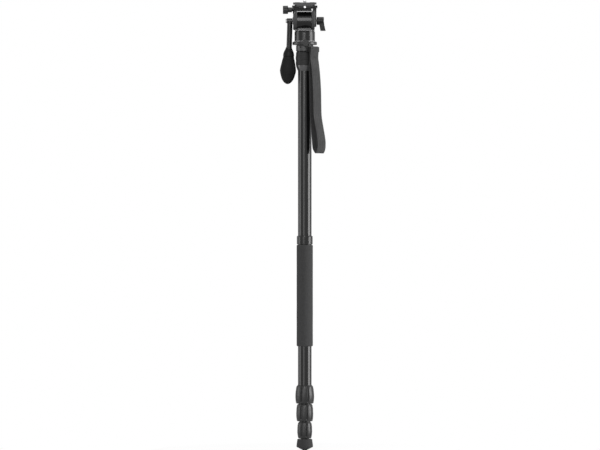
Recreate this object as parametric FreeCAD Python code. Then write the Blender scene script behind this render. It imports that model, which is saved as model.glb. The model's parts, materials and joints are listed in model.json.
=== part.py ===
# Collapsed monopod with a pan and tilt head, a quick-release clamp and a wrist strap.
# Millimetres. The origin is the centre of the foot's flat tip and +Z is up. -Y is the front,
# with the pan lock knob, and +X is the side with the tilt lever.
import FreeCAD
import Part
import math
import os

V = FreeCAD.Vector

# Clearances and small edges used all over
RUN = 0.05                  # radial clearance of a shaft or slide in its seat
FREE = 0.3                  # gap between faces on different bodies that never touch
FACE = 0.1                  # gap between flat faces that slide along each other
BOND = 0.02                 # glue line under a shim
OVER = 1.0                  # how far a cutter reaches past the face that it opens

# Leg tubes, largest first
TUBE_OD = 28.0
TUBE_WALL = 1.2
TUBE_STEP = 0.5             # radial gap from one tube to the next
TUBE_IN_LOCK = 7.5          # height of a tube's lower end above the lock's lower face
TUBE_IN_FOOT = 9.7
TUBE_IN_COLLAR = 4.0
TUBE_TOP_BELOW_PLUG = 6.0
TUBE_TOP_STAGGER = 7.0
SHIM_LENGTH = 20.0
SHIM_SLOT = 2.0

# Rubber foot
FOOT_HEIGHT = 23.7
FOOT_TIP_R = 4.2
FOOT_WALL = 8.0             # at the belly, outside the tube
FOOT_TAPER = 1.7            # from the belly in to the upper edge
FOOT_BELLY_Z = 9.8
FOOT_CONE_Z = 6.9
FOOT_GAP = 1.4
FOOT_PLUG_LENGTH = 20.0
FOOT_STUD_LENGTH = 9.0

# Twist locks: a nut on the outer tube's ferrule, under a fluted rubber grip
LOCK_GAP = 1.0
UPPER_LOCK_H = 37.6
MIDDLE_LOCK_H = 35.2
LOWER_LOCK_H = 33.9
UPPER_RUBBER = 2.95         # thickness over the nut, at the grip's belly
MIDDLE_RUBBER = 2.75
LOWER_RUBBER = 2.25
UPPER_SHOULDER_INSET = 1.3  # from the belly in to the grip's shoulder
MIDDLE_SHOULDER_INSET = 0.6
LOWER_SHOULDER_INSET = 0.5
UPPER_NECK_WALL = 0.8       # of the nut where it shows above the grip
MIDDLE_NECK_WALL = 2.0
LOWER_NECK_WALL = 1.3
UPPER_ROUND_H = 1.6         # height of the grip's rounded lower edge
MIDDLE_ROUND_H = 1.4
LOWER_ROUND_H = 3.4
UPPER_FLUTE_TURN = 22.5     # where the first flute lies, in degrees from the front
MIDDLE_FLUTE_TURN = 16.0
LOWER_FLUTE_TURN = 15.0
GRIP_END_INSET = 1.2        # from the belly in to the grip's lower end
GRIP_EDGE = 1.4
SHOULDER_H = 6.5
NECK_ABOVE_GRIP = 1.6
NUT_WALL = 1.0
NUT_LIP = 1.6
NUT_BEVEL = 1.8
FERRULE_WALL = 1.2
FERRULE_BELOW_GRIP = 4.8
COLLET_LENGTH = 4.9
FLUTES = 8
FLUTE_R = 2.2
FLUTE_DEPTH = 0.9

# Upper leg
BARE_LEG = 79.2
FOAM_LENGTH = 206.6
FOAM_THICK = 2.6
FOAM_EDGE = 1.5
COLLAR_GAP = 0.7
COLLAR_WALL = 2.3
COLLAR_H = 18.1
COLLAR_ROUND = 3.0
PLUG_DEPTH = 12.0
COUPLING_STUD_R = 5.0
COUPLING_IN_LEG = 9.0
COUPLING_IN_COLUMN = 16.0
COLUMN_FERRULE_LENGTH = 20.0

# Column
COLUMN_LENGTH = 336.0
CONE_H = 11.2
CONE_FLARE = 4.0            # from the tube's radius to the sleeve's
SLEEVE_LENGTH = 27.2
SLEEVE_WALL = 2.5
SLEEVE_BULGE = 0.6
TOP_PLUG_LENGTH = 18.0
TOP_CORE_R = 7.0
BRACKET_GAP = 0.3
BRACKET_THICK = 1.5
BRACKET_INSET = 1.5         # of its ring from the sleeve's side
PLATFORM_R = 17.85
PLATFORM_H = 11.8
PLATFORM_BEVEL = 0.8
HEAD_STUD_R = 4.76
HEAD_STUD_DEPTH = 12.0
GRUB_R = 2.0
GRUB_LENGTH = 6.0
GRUB_SUNK = 0.5
GRUB_SOCKET_R = 1.0
GRUB_SOCKET_DEPTH = 1.5
GRUB_LEVEL = 0.68           # share of the platform's height
GRUB_TURN = -29.0
GRUB_COUNT = 3

# Wrist strap and the bar that it hangs on
STRAP_AZIMUTH = 50.0        # from the front towards +X
STRAP_WIDTH = 25.0
STRAP_THICK = 1.6
BAR_R = 1.5
BAR_OUTSET = 6.3            # from the sleeve's side to the bar
BAR_RISE = 6.3              # above the bracket's upper face
EYE_GAP = 0.2               # between the bar and the webbing round it
BRACKET_ARM_T = 1.7
BRACKET_ARM_W = 4.0
BRACKET_SIDE_GAP = 0.4
STITCH_TOP = 15.5           # drop below the bar of the stitched stretch
STITCH_BOTTOM = 22.0
STITCH_INSET = 1.4          # of the stitched stretch from the bar towards the column
# Drop below the bar, then inner and outer face of the loop, from the bar away from the column
STRAP_SHAPE = [
    (38.0, -3.1, 3.0),
    (55.0, -2.7, 5.1),
    (85.0, -1.7, 7.5),
    (126.0, -1.1, 8.6),
    (143.0, 0.3, 9.9),
    (167.0, 2.9, 15.1),
    (187.0, 4.6, 19.4),
    (198.0, 5.6, 20.6),
    (207.0, 7.6, 19.9),
]
STRAP_END_DROP = 215.2
STRAP_END_REACH = 13.9

# Pan base, lock knob and neck
BASE_FOOT_H = 1.0
BASE_FOOT_INSET = 1.0
BASE_RING_H = 6.1
BASE_OVERHANG = 1.1         # past the neck's skirt
BASE_BEVEL = 0.8
SKIRT_FLARE = 3.0
SKIRT_H = 0.5
POST_R = 8.0
SPIGOT_WALL = 5.0
SPIGOT_DEPTH = 4.5
WASHER_H = 0.4
WASHER_GAP = 1.5
NECK_R = 21.0
NECK_H = 20.1
NECK_FLOOR = 7.4
PAN_NUT_H = 4.3
PAN_NUT_R = 12.0
PAN_NUT_ROOM = 2.0
GROOVE_H = 1.2
GROOVE_DEPTH = 1.4
TOP_FLANGE_H = 2.0
TOP_FLANGE_INSET = 0.4
TOP_PLUG_DEPTH = 3.0
FACET_DEPTH = 5.2
FACET_DROP = 4.8
PAN_KNOB_AZIMUTH = 3.0
PAN_KNOB_R = 6.7
PAN_KNOB_L = 9.5
PAN_KNOB_STANDOFF = 1.0
PAN_KNOB_HUB_R = 3.6
PAN_SCREW_R = 2.0
PAN_SCREW_IN_KNOB = 6.5

# Tilt drum and yoke
DRUM_LIFT = 0.5             # of the drum above the flange
DRUM_R = 18.8
DRUM_HALF = 14.9
DRUM_SHIFT = -0.7
DRUM_WALL = 4.6
PEDESTAL_HALF_Y = 11.5
PEDESTAL_INSET = 1.2
CAP_T = 3.0
CAP_LEDGE = 1.6
AXLE_R = 4.0
AXLE_END_R = 3.0
AXLE_IN_LEFT_ARM = 4.2
SLIT = 1.5
ARM_INSET = 0.2             # from the drum's radius to the arms'
ARM_BEVEL = 1.2
LEFT_ARM_T = 7.9
RIGHT_ARM_T = 5.8
RIGHT_BOSS_R = 12.5
RIGHT_BOSS_T = 3.5
BUSH_WALL = 1.5
RELIEF_R = 2.0
RELIEF_RISE = 1.4           # of the relief hole's lower edge above the slit
RELIEF_INSET = 0.8          # of its centre from the right arm's inner face
RELIEF_NOTCH = 1.4

# Clamp
CLAMP_LENGTH = 44.0
FLOOR_T = 4.8
LEDGE_RISE = 1.2
DOVETAIL_HALF = 19.05
DOVETAIL_SLOPE = 2.65
DOVETAIL_LAND = 0.8
KEEL_HALF = 11.7
JAW_TOP = 4.2               # above the ledge
JAW_OVERHANG = 2.0          # past the yoke's sides
JAW_LIP_LOW = 0.9
JAW_LIP_BEVEL = 0.8
JAW_FLANGE_T = 3.1
JAW_PROUD = 0.4
JAW_DROP = 11.3             # of the moving jaw's flange below the ledge
CLAMP_SCREW_R = 2.0
CLAMP_SCREW_RISE = 2.3      # above the yoke's underside
CLAMP_SCREW_END = 11.4      # distance of its tip from the head's axis
RETAINER_R = 3.6
RETAINER_T = 0.8
RETAINER_ROOM = 0.6
CLAMP_KNOB_R = 8.4
CLAMP_KNOB_T = 10.6
CLAMP_KNOB_FLUTES = 14
CLAMP_HUB_R = 5.1
CLAMP_HUB_L = 7.9
CLAMP_NECK_R = 3.4
KNOB_EDGE = 0.8
KNOB_FLUTE_R = 1.3
GUIDE_PIN_R = 1.5
GUIDE_PIN_SPACING = 30.0
GUIDE_PIN_LENGTH = 11.8

# Quick-release plate
PLATE_LENGTH = 50.0
PLATE_BODY_HALF = 20.65
PLATE_BODY_H = 3.7
PLATE_TOP_HALF = 23.87
PLATE_TOP_H = 2.0
PLATE_TOP_BEVEL = 0.5
PAD_INNER = 9.5
PAD_OUTER = 20.8
PAD_RISE = 0.4
PAD_RECESS = 0.6
PAD_MARGIN = 2.0
STOP_R = 2.3
STOP_HEAD_T = 1.8
STOP_SHANK_R = 1.2
STOP_SHANK_L = 6.0
STOP_OVERHANG = 0.3
CAMERA_SCREW_R = 3.175
CAMERA_SCREW_PROUD = 5.2
CAMERA_SCREW_POINT = 0.8
CAMERA_SHANK_R = 2.6        # undercut below the thread, which keeps the screw captive
CAMERA_HEAD_R = 7.0
CAMERA_HEAD_H = 3.0
CAMERA_HEAD_RISE = 0.6
CAMERA_HEAD_ROOM = 0.5
COIN_SLOT_W = 1.4
COIN_SLOT_DEPTH = 1.8

# Tilt lock lever
INSERT_R = 5.0
INSERT_L = 8.9
INSERT_FLANGE = 1.5
INSERT_FLANGE_T = 1.5
AXLE_THREAD_SHORT = 3.0     # of the axle's end before the insert's end
LEVER_BOLT_R = 2.0
LEVER_BOLT_HEAD_R = 4.6
LEVER_BOLT_SOCKET_R = 1.5
LEVER_R = 8.2
LEVER_L = 14.6
LEVER_BEVEL = 1.0
LEVER_WEB = 1.2
LEVER_RECESS_R = 5.4
LEVER_REACH = 20.2
LEVER_ARM_W = 12.0
LEVER_ARM_T = 10.0
LEVER_ARM_FLARE = 2.6
LEVER_ARM_EDGE = 1.5

# Pan handle
ROSETTE_T = 1.0
ROSETTE_R = 7.5
ROSETTE_GAP = 0.2
ROSETTE_TEETH = 24
ROSETTE_TOOTH_H = 0.4
KNUCKLE_R = 5.4
KNUCKLE_L = 11.3
HANDLE_R = 5.6
HANDLE_SET_IN = 0.5         # how far the rod's side lies past the knuckle's face
HANDLE_SWING = 125.0        # each way, up from hanging
ROD_LENGTH = 98.0
ROD_BORE_LENGTH = 80.0
HANDLE_BOLT_R = 3.0
HANDLE_BOLT_HEAD_R = 4.2
HANDLE_BOLT_HEAD_T = 2.6
HANDLE_BOLT_IN_ARM = 4.0
HANDLE_BOLT_SOCKET_R = 1.7
FERRULE_START = 53.0        # along the handle from the pivot
FERRULE_LENGTH = 19.0
FERRULE_EDGE = 0.5
FERRULE_COLLAR = 6.0
FERRULE_FLATNESS = 0.76     # depth over width
GRIP_GAP = 0.2
GRIP_LENGTH = 56.8
GRIP_TOP_R = 11.3
GRIP_BELLY_R = 16.4
GRIP_FLATNESS = 0.64
GRIP_CLEARANCE = 0.5        # between the grip's side and the column's sleeve
PANEL_SCALE = 0.84          # of the sunk panel against the grip's outline
PANEL_DEPTH = 0.5

# Levels, from the ground up
LOWER_LOCK_Z = FOOT_HEIGHT + FOOT_GAP
MIDDLE_LOCK_Z = LOWER_LOCK_Z + LOWER_LOCK_H + LOCK_GAP
UPPER_LOCK_Z = MIDDLE_LOCK_Z + MIDDLE_LOCK_H + LOCK_GAP
FOAM_Z = UPPER_LOCK_Z + UPPER_LOCK_H + BARE_LEG
COLLAR_Z = FOAM_Z + FOAM_LENGTH + COLLAR_GAP
PLUG_Z = COLLAR_Z - PLUG_DEPTH
COLUMN_Z = COLLAR_Z + COLLAR_H
CONE_Z = COLUMN_Z + COLUMN_LENGTH
SLEEVE_Z = CONE_Z + CONE_H
BRACKET_Z = SLEEVE_Z + SLEEVE_LENGTH + BRACKET_GAP
PLATFORM_Z = BRACKET_Z + BRACKET_THICK
BAR_Z = PLATFORM_Z + BAR_RISE
BASE_Z = PLATFORM_Z + PLATFORM_H
RING_Z = BASE_Z + BASE_FOOT_H
WASHER_Z = RING_Z + BASE_RING_H
NECK_Z = WASHER_Z + WASHER_H
PAN_NUT_Z = NECK_Z + NECK_FLOOR + FREE
GROOVE_Z = NECK_Z + NECK_H
FLANGE_Z = GROOVE_Z + GROOVE_H
FLANGE_TOP = FLANGE_Z + TOP_FLANGE_H
AXIS_Z = FLANGE_TOP + DRUM_LIFT + DRUM_R
YOKE_Z = AXIS_Z + DRUM_R + SLIT
SCREW_Z = YOKE_Z + CLAMP_SCREW_RISE
FLOOR_Z = YOKE_Z + FLOOR_T
KEEL_Z = FLOOR_Z + FREE
LEDGE_Z = FLOOR_Z + LEDGE_RISE
DOVETAIL_Z = LEDGE_Z + FREE
LAND_Z = DOVETAIL_Z + DOVETAIL_LAND
JAW_TOP_Z = LEDGE_Z + JAW_TOP
BODY_Z = JAW_TOP_Z + FREE
PLATE_TOP_Z = BODY_Z + PLATE_BODY_H
PLATE_Z = PLATE_TOP_Z + PLATE_TOP_H
SCREW_TOP_Z = PLATE_Z + PAD_RISE + CAMERA_SCREW_PROUD

# Radii and stations that follow from the sizes above
TUBE_R = [TUBE_OD / 2 - i * (TUBE_WALL + TUBE_STEP) for i in range(4)]
TUBE_TOPS = [COLLAR_Z + TUBE_IN_COLLAR] + [
    PLUG_Z - TUBE_TOP_BELOW_PLUG - i * TUBE_TOP_STAGGER for i in range(3)
]
SLEEVE_R = TUBE_R[0] + CONE_FLARE
BAR_REACH = SLEEVE_R + BAR_OUTSET
SPIGOT_R = POST_R + SPIGOT_WALL
SKIRT_R = NECK_R + SKIRT_FLARE
BASE_R = SKIRT_R + BASE_OVERHANG
DRUM_LEFT = DRUM_SHIFT - DRUM_HALF
DRUM_RIGHT = DRUM_SHIFT + DRUM_HALF
ARM_R = DRUM_R - ARM_INSET
LEFT_IN = DRUM_LEFT - FREE
LEFT_OUT = LEFT_IN - LEFT_ARM_T
RIGHT_IN = DRUM_RIGHT + FREE
RIGHT_OUT = RIGHT_IN + RIGHT_ARM_T
YOKE_RIGHT = RIGHT_OUT + RIGHT_BOSS_T
INSERT_X = YOKE_RIGHT + FREE
INSERT_END = YOKE_RIGHT + INSERT_L
AXLE_END = INSERT_END - AXLE_THREAD_SHORT
AXLE_LEFT = LEFT_IN - AXLE_IN_LEFT_ARM
CHANNEL_HALF = DOVETAIL_HALF + FACE
KNUCKLE_X = LEFT_OUT - ROSETTE_T - ROSETTE_GAP
HANDLE_X = KNUCKLE_X + HANDLE_SET_IN - HANDLE_R

parts = {}


def keep(name, shape):
    parts[name] = shape


def cyl(r, z0, z1, x=0.0, y=0.0):
    return Part.makeCylinder(r, z1 - z0, V(x, y, z0))


def pipe(r_out, r_in, z0, z1):
    return cyl(r_out, z0, z1).cut(cyl(r_in, z0 - OVER, z1 + OVER))


def cyl_x(r, x0, x1, y=0.0, z=AXIS_Z):
    return Part.makeCylinder(r, x1 - x0, V(x0, y, z), V(1, 0, 0))


def cyl_y(r, y0, y1, x=0.0, z=0.0):
    low = min(y0, y1)
    return Part.makeCylinder(r, abs(y1 - y0), V(x, low, z), V(0, 1, 0))


def block(x0, x1, y0, y1, z0, z1):
    return Part.makeBox(x1 - x0, y1 - y0, z1 - z0, V(x0, y0, z0))


def outline_wire(segments):
    """Wire in X and Z. A segment is a list of 2 points (line), 3 (arc) or more (curve)."""
    edges = []
    for seg in segments:
        pts = [V(r, 0, z) for r, z in seg]
        if len(pts) == 2:
            edges.append(Part.LineSegment(pts[0], pts[1]).toShape())
        elif len(pts) == 3:
            edges.append(Part.Arc(pts[0], pts[1], pts[2]).toShape())
        else:
            curve = Part.BSplineCurve()
            curve.interpolate(pts)
            edges.append(curve.toShape())
    return Part.Wire(edges)


def turned(segments):
    """Solid of revolution about Z."""
    return Part.Face(outline_wire(segments)).revolve(V(0, 0, 0), V(0, 0, 1), 360)


def closed_runs(points):
    """Straight segments round a closed outline."""
    return [[points[i - 1], points[i]] for i in range(len(points))]


def slab_y(points, half):
    """Outline in X and Z, extruded both ways along Y."""
    face = Part.Face(outline_wire(closed_runs(points)))
    face.translate(V(0, -half, 0))
    return face.extrude(V(0, 2 * half, 0))


def slab_x(points, x0, x1):
    """Outline in Y and Z, extruded along X."""
    ring = [V(x0, y, z) for y, z in points]
    return Part.Face(Part.makePolygon(ring + ring[:1])).extrude(V(x1 - x0, 0, 0))


def around(shape, count, start=0.0, centre=V(0, 0, 0), axis=V(0, 0, 1)):
    """Copies of a shape, evenly turned about an axis."""
    copies = []
    for i in range(count):
        copy = shape.copy()
        copy.rotate(centre, axis, start + 360.0 * i / count)
        copies.append(copy)
    return copies


def fuse(shapes):
    whole = shapes[0]
    for shape in shapes[1:]:
        whole = whole.fuse(shape)
    return whole.removeSplitter()


def cut(shape, tools):
    for tool in tools:
        shape = shape.cut(tool)
    return shape


# Rubber foot and its plug

def make_foot():
    r = TUBE_R[3]
    belly = r + FOOT_WALL
    top = belly - FOOT_TAPER
    tube_z = FOOT_HEIGHT - TUBE_IN_FOOT
    edge = 1.0
    outer = turned([
        [(0, 0), (FOOT_TIP_R, 0)],
        [(FOOT_TIP_R, 0), (FOOT_TIP_R + 0.4, 1.3), (FOOT_TIP_R + 1.6, 2.0)],
        [(FOOT_TIP_R + 1.6, 2.0), (belly - 1.5, FOOT_CONE_Z)],
        [(belly - 1.5, FOOT_CONE_Z), (belly - 0.2, FOOT_CONE_Z + 1.2), (belly, FOOT_BELLY_Z)],
        [(belly, FOOT_BELLY_Z), (top, FOOT_HEIGHT - edge)],
        [(top, FOOT_HEIGHT - edge), (top - 0.3, FOOT_HEIGHT - 0.3), (top - edge, FOOT_HEIGHT)],
        [(top - edge, FOOT_HEIGHT), (0, FOOT_HEIGHT)],
        [(0, FOOT_HEIGHT), (0, 0)],
    ])
    plug_r = r - TUBE_WALL
    stud = cyl(plug_r / 2, tube_z - FOOT_STUD_LENGTH, tube_z + OVER)
    seat = cyl(r, tube_z, FOOT_HEIGHT + OVER)
    keep("foot_plug", fuse([stud, cyl(plug_r, tube_z, tube_z + FOOT_PLUG_LENGTH)]))
    keep("rubber_foot", cut(outer, [seat, stud]))


# Leg tubes with the shims that guide their tops

def make_leg_tubes():
    names = ["upper", "second", "third", "fourth"]
    locks = [UPPER_LOCK_Z, MIDDLE_LOCK_Z, LOWER_LOCK_Z]
    bottoms = [z + TUBE_IN_LOCK for z in locks] + [FOOT_HEIGHT - TUBE_IN_FOOT]
    for i, name in enumerate(names):
        r = TUBE_R[i]
        keep("leg_tube_" + name, pipe(r, r - TUBE_WALL, bottoms[i], TUBE_TOPS[i]))
        if i == 0:
            continue
        bore = TUBE_R[i - 1] - TUBE_WALL
        top = TUBE_TOPS[i] - 2.0
        low = top - SHIM_LENGTH
        slot = block(0, bore + OVER, -SHIM_SLOT / 2, SHIM_SLOT / 2, low - OVER, top + OVER)
        keep("shim_" + name, pipe(bore - RUN, r + BOND, low, top).cut(slot))


# Twist locks: ferrule bonded on the outer tube, collet under it, nut and rubber grip

def make_lock(name, i, z0, height, rubber, shoulder_inset, neck_wall, round_h, turn):
    z1 = z0 + height
    grip_z = z1 - NECK_ABOVE_GRIP
    r_tube = TUBE_R[i]
    r_inner = TUBE_R[i + 1]
    ferrule_r = r_tube + FERRULE_WALL
    nut_in = ferrule_r + RUN
    nut_out = nut_in + NUT_WALL
    neck_in = r_tube + FREE
    neck_out = neck_in + neck_wall
    tube_end = z0 + TUBE_IN_LOCK
    lip_z = z0 + 0.8
    ferrule_top = grip_z - FERRULE_BELOW_GRIP
    step_z = ferrule_top + 0.2
    cone_z = ferrule_top - 1.0
    bevel_r = nut_out - 1.2
    nut_side = [
        (r_inner + FREE, lip_z), (bevel_r, lip_z), (nut_out, lip_z + NUT_BEVEL),
        (nut_out, cone_z), (neck_out, grip_z - 1.0),
    ]
    nut = turned(closed_runs(nut_side + [
        (neck_out, z1 - 0.3), (neck_out - 0.3, z1), (neck_in, z1), (neck_in, step_z),
        (nut_in, step_z), (nut_in, lip_z + NUT_LIP), (r_inner + FREE, lip_z + NUT_LIP),
    ]))
    core = turned(closed_runs([(0, z0 - OVER), (r_inner + FREE, z0 - OVER)] + nut_side + [
        (neck_out, z1), (0, z1),
    ]))
    belly = nut_out + rubber
    bottom = belly - GRIP_END_INSET
    shoulder = belly - shoulder_inset
    shoulder_z = grip_z - SHOULDER_H
    belly_z = (z0 + round_h + shoulder_z) / 2
    top = neck_out + FREE
    round_z = z0 + round_h
    outer = turned([
        [(0, z0), (bottom - GRIP_EDGE, z0)],
        [(bottom - GRIP_EDGE, z0), (bottom - GRIP_EDGE / 3, z0 + round_h / 3), (bottom, round_z)],
        [(bottom, round_z), (belly, belly_z), (shoulder, shoulder_z)],
        [(shoulder, shoulder_z), (shoulder - 0.75, grip_z - SHOULDER_H / 2), (top, grip_z)],
        [(top, grip_z), (0, grip_z)],
        [(0, grip_z), (0, z0)],
    ])
    outset = FLUTE_R - FLUTE_DEPTH
    path = Part.Arc(
        V(bottom + FLUTE_R, 0, round_z + 0.6),
        V(belly + outset, 0, belly_z + 2.0),
        V(top + outset + 0.6, 0, grip_z),
    ).toShape().Curve
    flute = Part.makeTorus(path.Radius, FLUTE_R, path.Center, V(0, 1, 0))
    outer = cut(outer, around(flute, FLUTES, turn))
    collet_z = tube_end - COLLET_LENGTH
    collet = pipe(nut_in - FREE, r_inner + RUN, collet_z, tube_end)
    slot = block(0, nut_out, -0.5, 0.5, collet_z - OVER, tube_end + OVER)
    keep("lock_ferrule_" + name, pipe(ferrule_r, r_tube, tube_end, ferrule_top))
    keep("collet_" + name, cut(collet, around(slot, 3)))
    keep("lock_nut_" + name, nut)
    keep("lock_grip_" + name, outer.cut(core))


def make_locks():
    make_lock("upper", 0, UPPER_LOCK_Z, UPPER_LOCK_H, UPPER_RUBBER, UPPER_SHOULDER_INSET,
              UPPER_NECK_WALL, UPPER_ROUND_H, UPPER_FLUTE_TURN)
    make_lock("middle", 1, MIDDLE_LOCK_Z, MIDDLE_LOCK_H, MIDDLE_RUBBER, MIDDLE_SHOULDER_INSET,
              MIDDLE_NECK_WALL, MIDDLE_ROUND_H, MIDDLE_FLUTE_TURN)
    make_lock("lower", 2, LOWER_LOCK_Z, LOWER_LOCK_H, LOWER_RUBBER, LOWER_SHOULDER_INSET,
              LOWER_NECK_WALL, LOWER_ROUND_H, LOWER_FLUTE_TURN)


# Foam grip, leg collar, coupling stud and column

def make_upper_leg():
    r = TUBE_R[0]
    foam_r = r + FOAM_THICK
    low = FOAM_Z
    top = FOAM_Z + FOAM_LENGTH
    edge = FOAM_EDGE
    nip = edge * 0.3
    keep("foam_grip", turned([
        [(r, low), (foam_r - edge, low)],
        [(foam_r - edge, low), (foam_r - nip, low + nip), (foam_r, low + edge)],
        [(foam_r, low + edge), (foam_r, top - edge)],
        [(foam_r, top - edge), (foam_r - nip, top - nip), (foam_r - edge, top)],
        [(foam_r - edge, top), (r, top)],
        [(r, top), (r, low)],
    ]))
    z0 = COLLAR_Z
    z1 = COLUMN_Z
    wide = r + COLLAR_WALL
    collar = turned([
        [(0, z0), (wide - 0.9, z0)],
        [(wide - 0.9, z0), (wide, z0 + 1.2)],
        [(wide, z0 + 1.2), (wide, z1 - COLLAR_ROUND)],
        [(wide, z1 - COLLAR_ROUND), (wide - 0.5, z1 - COLLAR_ROUND * 0.3), (r + 0.5, z1)],
        [(r + 0.5, z1), (0, z1)],
        [(0, z1), (0, z0)],
    ])
    plug = cyl(r - TUBE_WALL, PLUG_Z, z0 + OVER)
    socket = pipe(r, r - TUBE_WALL, z0 - OVER, TUBE_TOPS[0])
    stud = cyl(COUPLING_STUD_R, z0 - COUPLING_IN_LEG, z1 + COUPLING_IN_COLUMN)
    keep("leg_top_collar", cut(fuse([collar, plug]), [socket, stud]))
    keep("coupling_stud", stud)
    ferrule = cyl(r - TUBE_WALL, z1, z1 + COLUMN_FERRULE_LENGTH)
    keep("column_end_ferrule", ferrule.cut(stud))


def make_column():
    r = TUBE_R[0]
    z0 = CONE_Z
    keep("column_tube", pipe(r, r - TUBE_WALL, COLUMN_Z, z0))
    core_r = SLEEVE_R - SLEEVE_WALL
    skin = SLEEVE_R - 0.1
    plug_z = z0 - TOP_PLUG_LENGTH
    casting = turned([
        [(0, plug_z), (r - TUBE_WALL, plug_z)],
        [(r - TUBE_WALL, plug_z), (r - TUBE_WALL, z0)],
        [(r - TUBE_WALL, z0), (r, z0)],
        [(r, z0), (r + CONE_FLARE * 0.6, z0 + CONE_H / 2), (skin, SLEEVE_Z)],
        [(skin, SLEEVE_Z), (core_r, SLEEVE_Z)],
        [(core_r, SLEEVE_Z), (core_r, BRACKET_Z)],
        [(core_r, BRACKET_Z), (0, BRACKET_Z)],
        [(0, BRACKET_Z), (0, plug_z)],
    ])
    stud = cyl(HEAD_STUD_R, BRACKET_Z - HEAD_STUD_DEPTH, WASHER_Z - 0.5)
    keep("head_stud", stud)
    core = cyl(TOP_CORE_R, plug_z - OVER, SLEEVE_Z + 4.0)
    keep("column_top_casting", cut(casting, [stud, core]))
    dip = SLEEVE_Z + SLEEVE_LENGTH * 0.37
    bulge = SLEEVE_Z + SLEEVE_LENGTH * 0.53
    rise = SLEEVE_Z + SLEEVE_LENGTH * 0.74
    top = SLEEVE_Z + SLEEVE_LENGTH
    keep("column_sleeve", turned([
        [(core_r, SLEEVE_Z), (skin, SLEEVE_Z)],
        [(skin, SLEEVE_Z), (SLEEVE_R + 0.25, (SLEEVE_Z + dip) / 2), (skin, dip)],
        [(skin, dip), (SLEEVE_R + SLEEVE_BULGE, bulge), (SLEEVE_R, rise)],
        [(SLEEVE_R, rise), (SLEEVE_R - 0.3, top - 1.2)],
        [(SLEEVE_R - 0.3, top - 1.2), (SLEEVE_R - 0.6, top - 0.3), (SLEEVE_R - 1.4, top)],
        [(SLEEVE_R - 1.4, top), (core_r, top)],
        [(core_r, top), (core_r, SLEEVE_Z)],
    ]))


def make_platform():
    edge = PLATFORM_BEVEL
    platform = turned(closed_runs([
        (HEAD_STUD_R, PLATFORM_Z), (PLATFORM_R - edge, PLATFORM_Z),
        (PLATFORM_R, PLATFORM_Z + edge), (PLATFORM_R, BASE_Z - edge),
        (PLATFORM_R - edge, BASE_Z), (HEAD_STUD_R, BASE_Z),
    ]))
    level = PLATFORM_Z + PLATFORM_H * GRUB_LEVEL
    head = GRUB_SUNK - PLATFORM_R
    grub = cyl_y(GRUB_R, head, head + GRUB_LENGTH, 0, level)
    socket = cyl_y(GRUB_SOCKET_R, head, head + GRUB_SOCKET_DEPTH, 0, level)
    hole = cyl_y(GRUB_R, -PLATFORM_R - OVER, head + GRUB_LENGTH, 0, level)
    grubs = around(grub.cut(socket), GRUB_COUNT, GRUB_TURN)
    keep("mounting_platform", cut(platform, around(hole, GRUB_COUNT, GRUB_TURN)))
    keep("platform_grub_screws", Part.makeCompound(grubs))


# Strap bracket and wrist strap, drawn square to the front and then turned to their azimuth

def turn_to_strap(shape):
    shape.rotate(V(0, 0, 0), V(0, 0, 1), STRAP_AZIMUTH)
    return shape


def make_strap_bracket():
    side = STRAP_WIDTH / 2 + BRACKET_SIDE_GAP
    reach = BAR_REACH + BRACKET_ARM_W / 2
    post_top = BAR_Z + BAR_R + 0.6
    solids = [cyl(SLEEVE_R - BRACKET_INSET, BRACKET_Z, PLATFORM_Z)]
    for x0 in (-side - BRACKET_ARM_T, side):
        x1 = x0 + BRACKET_ARM_T
        solids.append(block(x0, x1, -reach, -SLEEVE_R / 4, BRACKET_Z, PLATFORM_Z))
        solids.append(block(x0, x1, -reach, BRACKET_ARM_W - reach, BRACKET_Z, post_top))
    solids.append(cyl_x(BAR_R, -side - 0.5, side + 0.5, -BAR_REACH, BAR_Z))
    bore = cyl(HEAD_STUD_R, BRACKET_Z - OVER, PLATFORM_Z + OVER)
    keep("strap_bracket", turn_to_strap(fuse(solids).cut(bore)))


def strap_face(points):
    """Face bounded by a smooth closed curve through (drop, reach) points."""
    curve = Part.BSplineCurve()
    ring = [V(0, -BAR_REACH - reach, BAR_Z - drop) for drop, reach in points]
    curve.interpolate(ring, PeriodicFlag=True)
    return Part.Face(Part.Wire(curve.toShape()))


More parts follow.
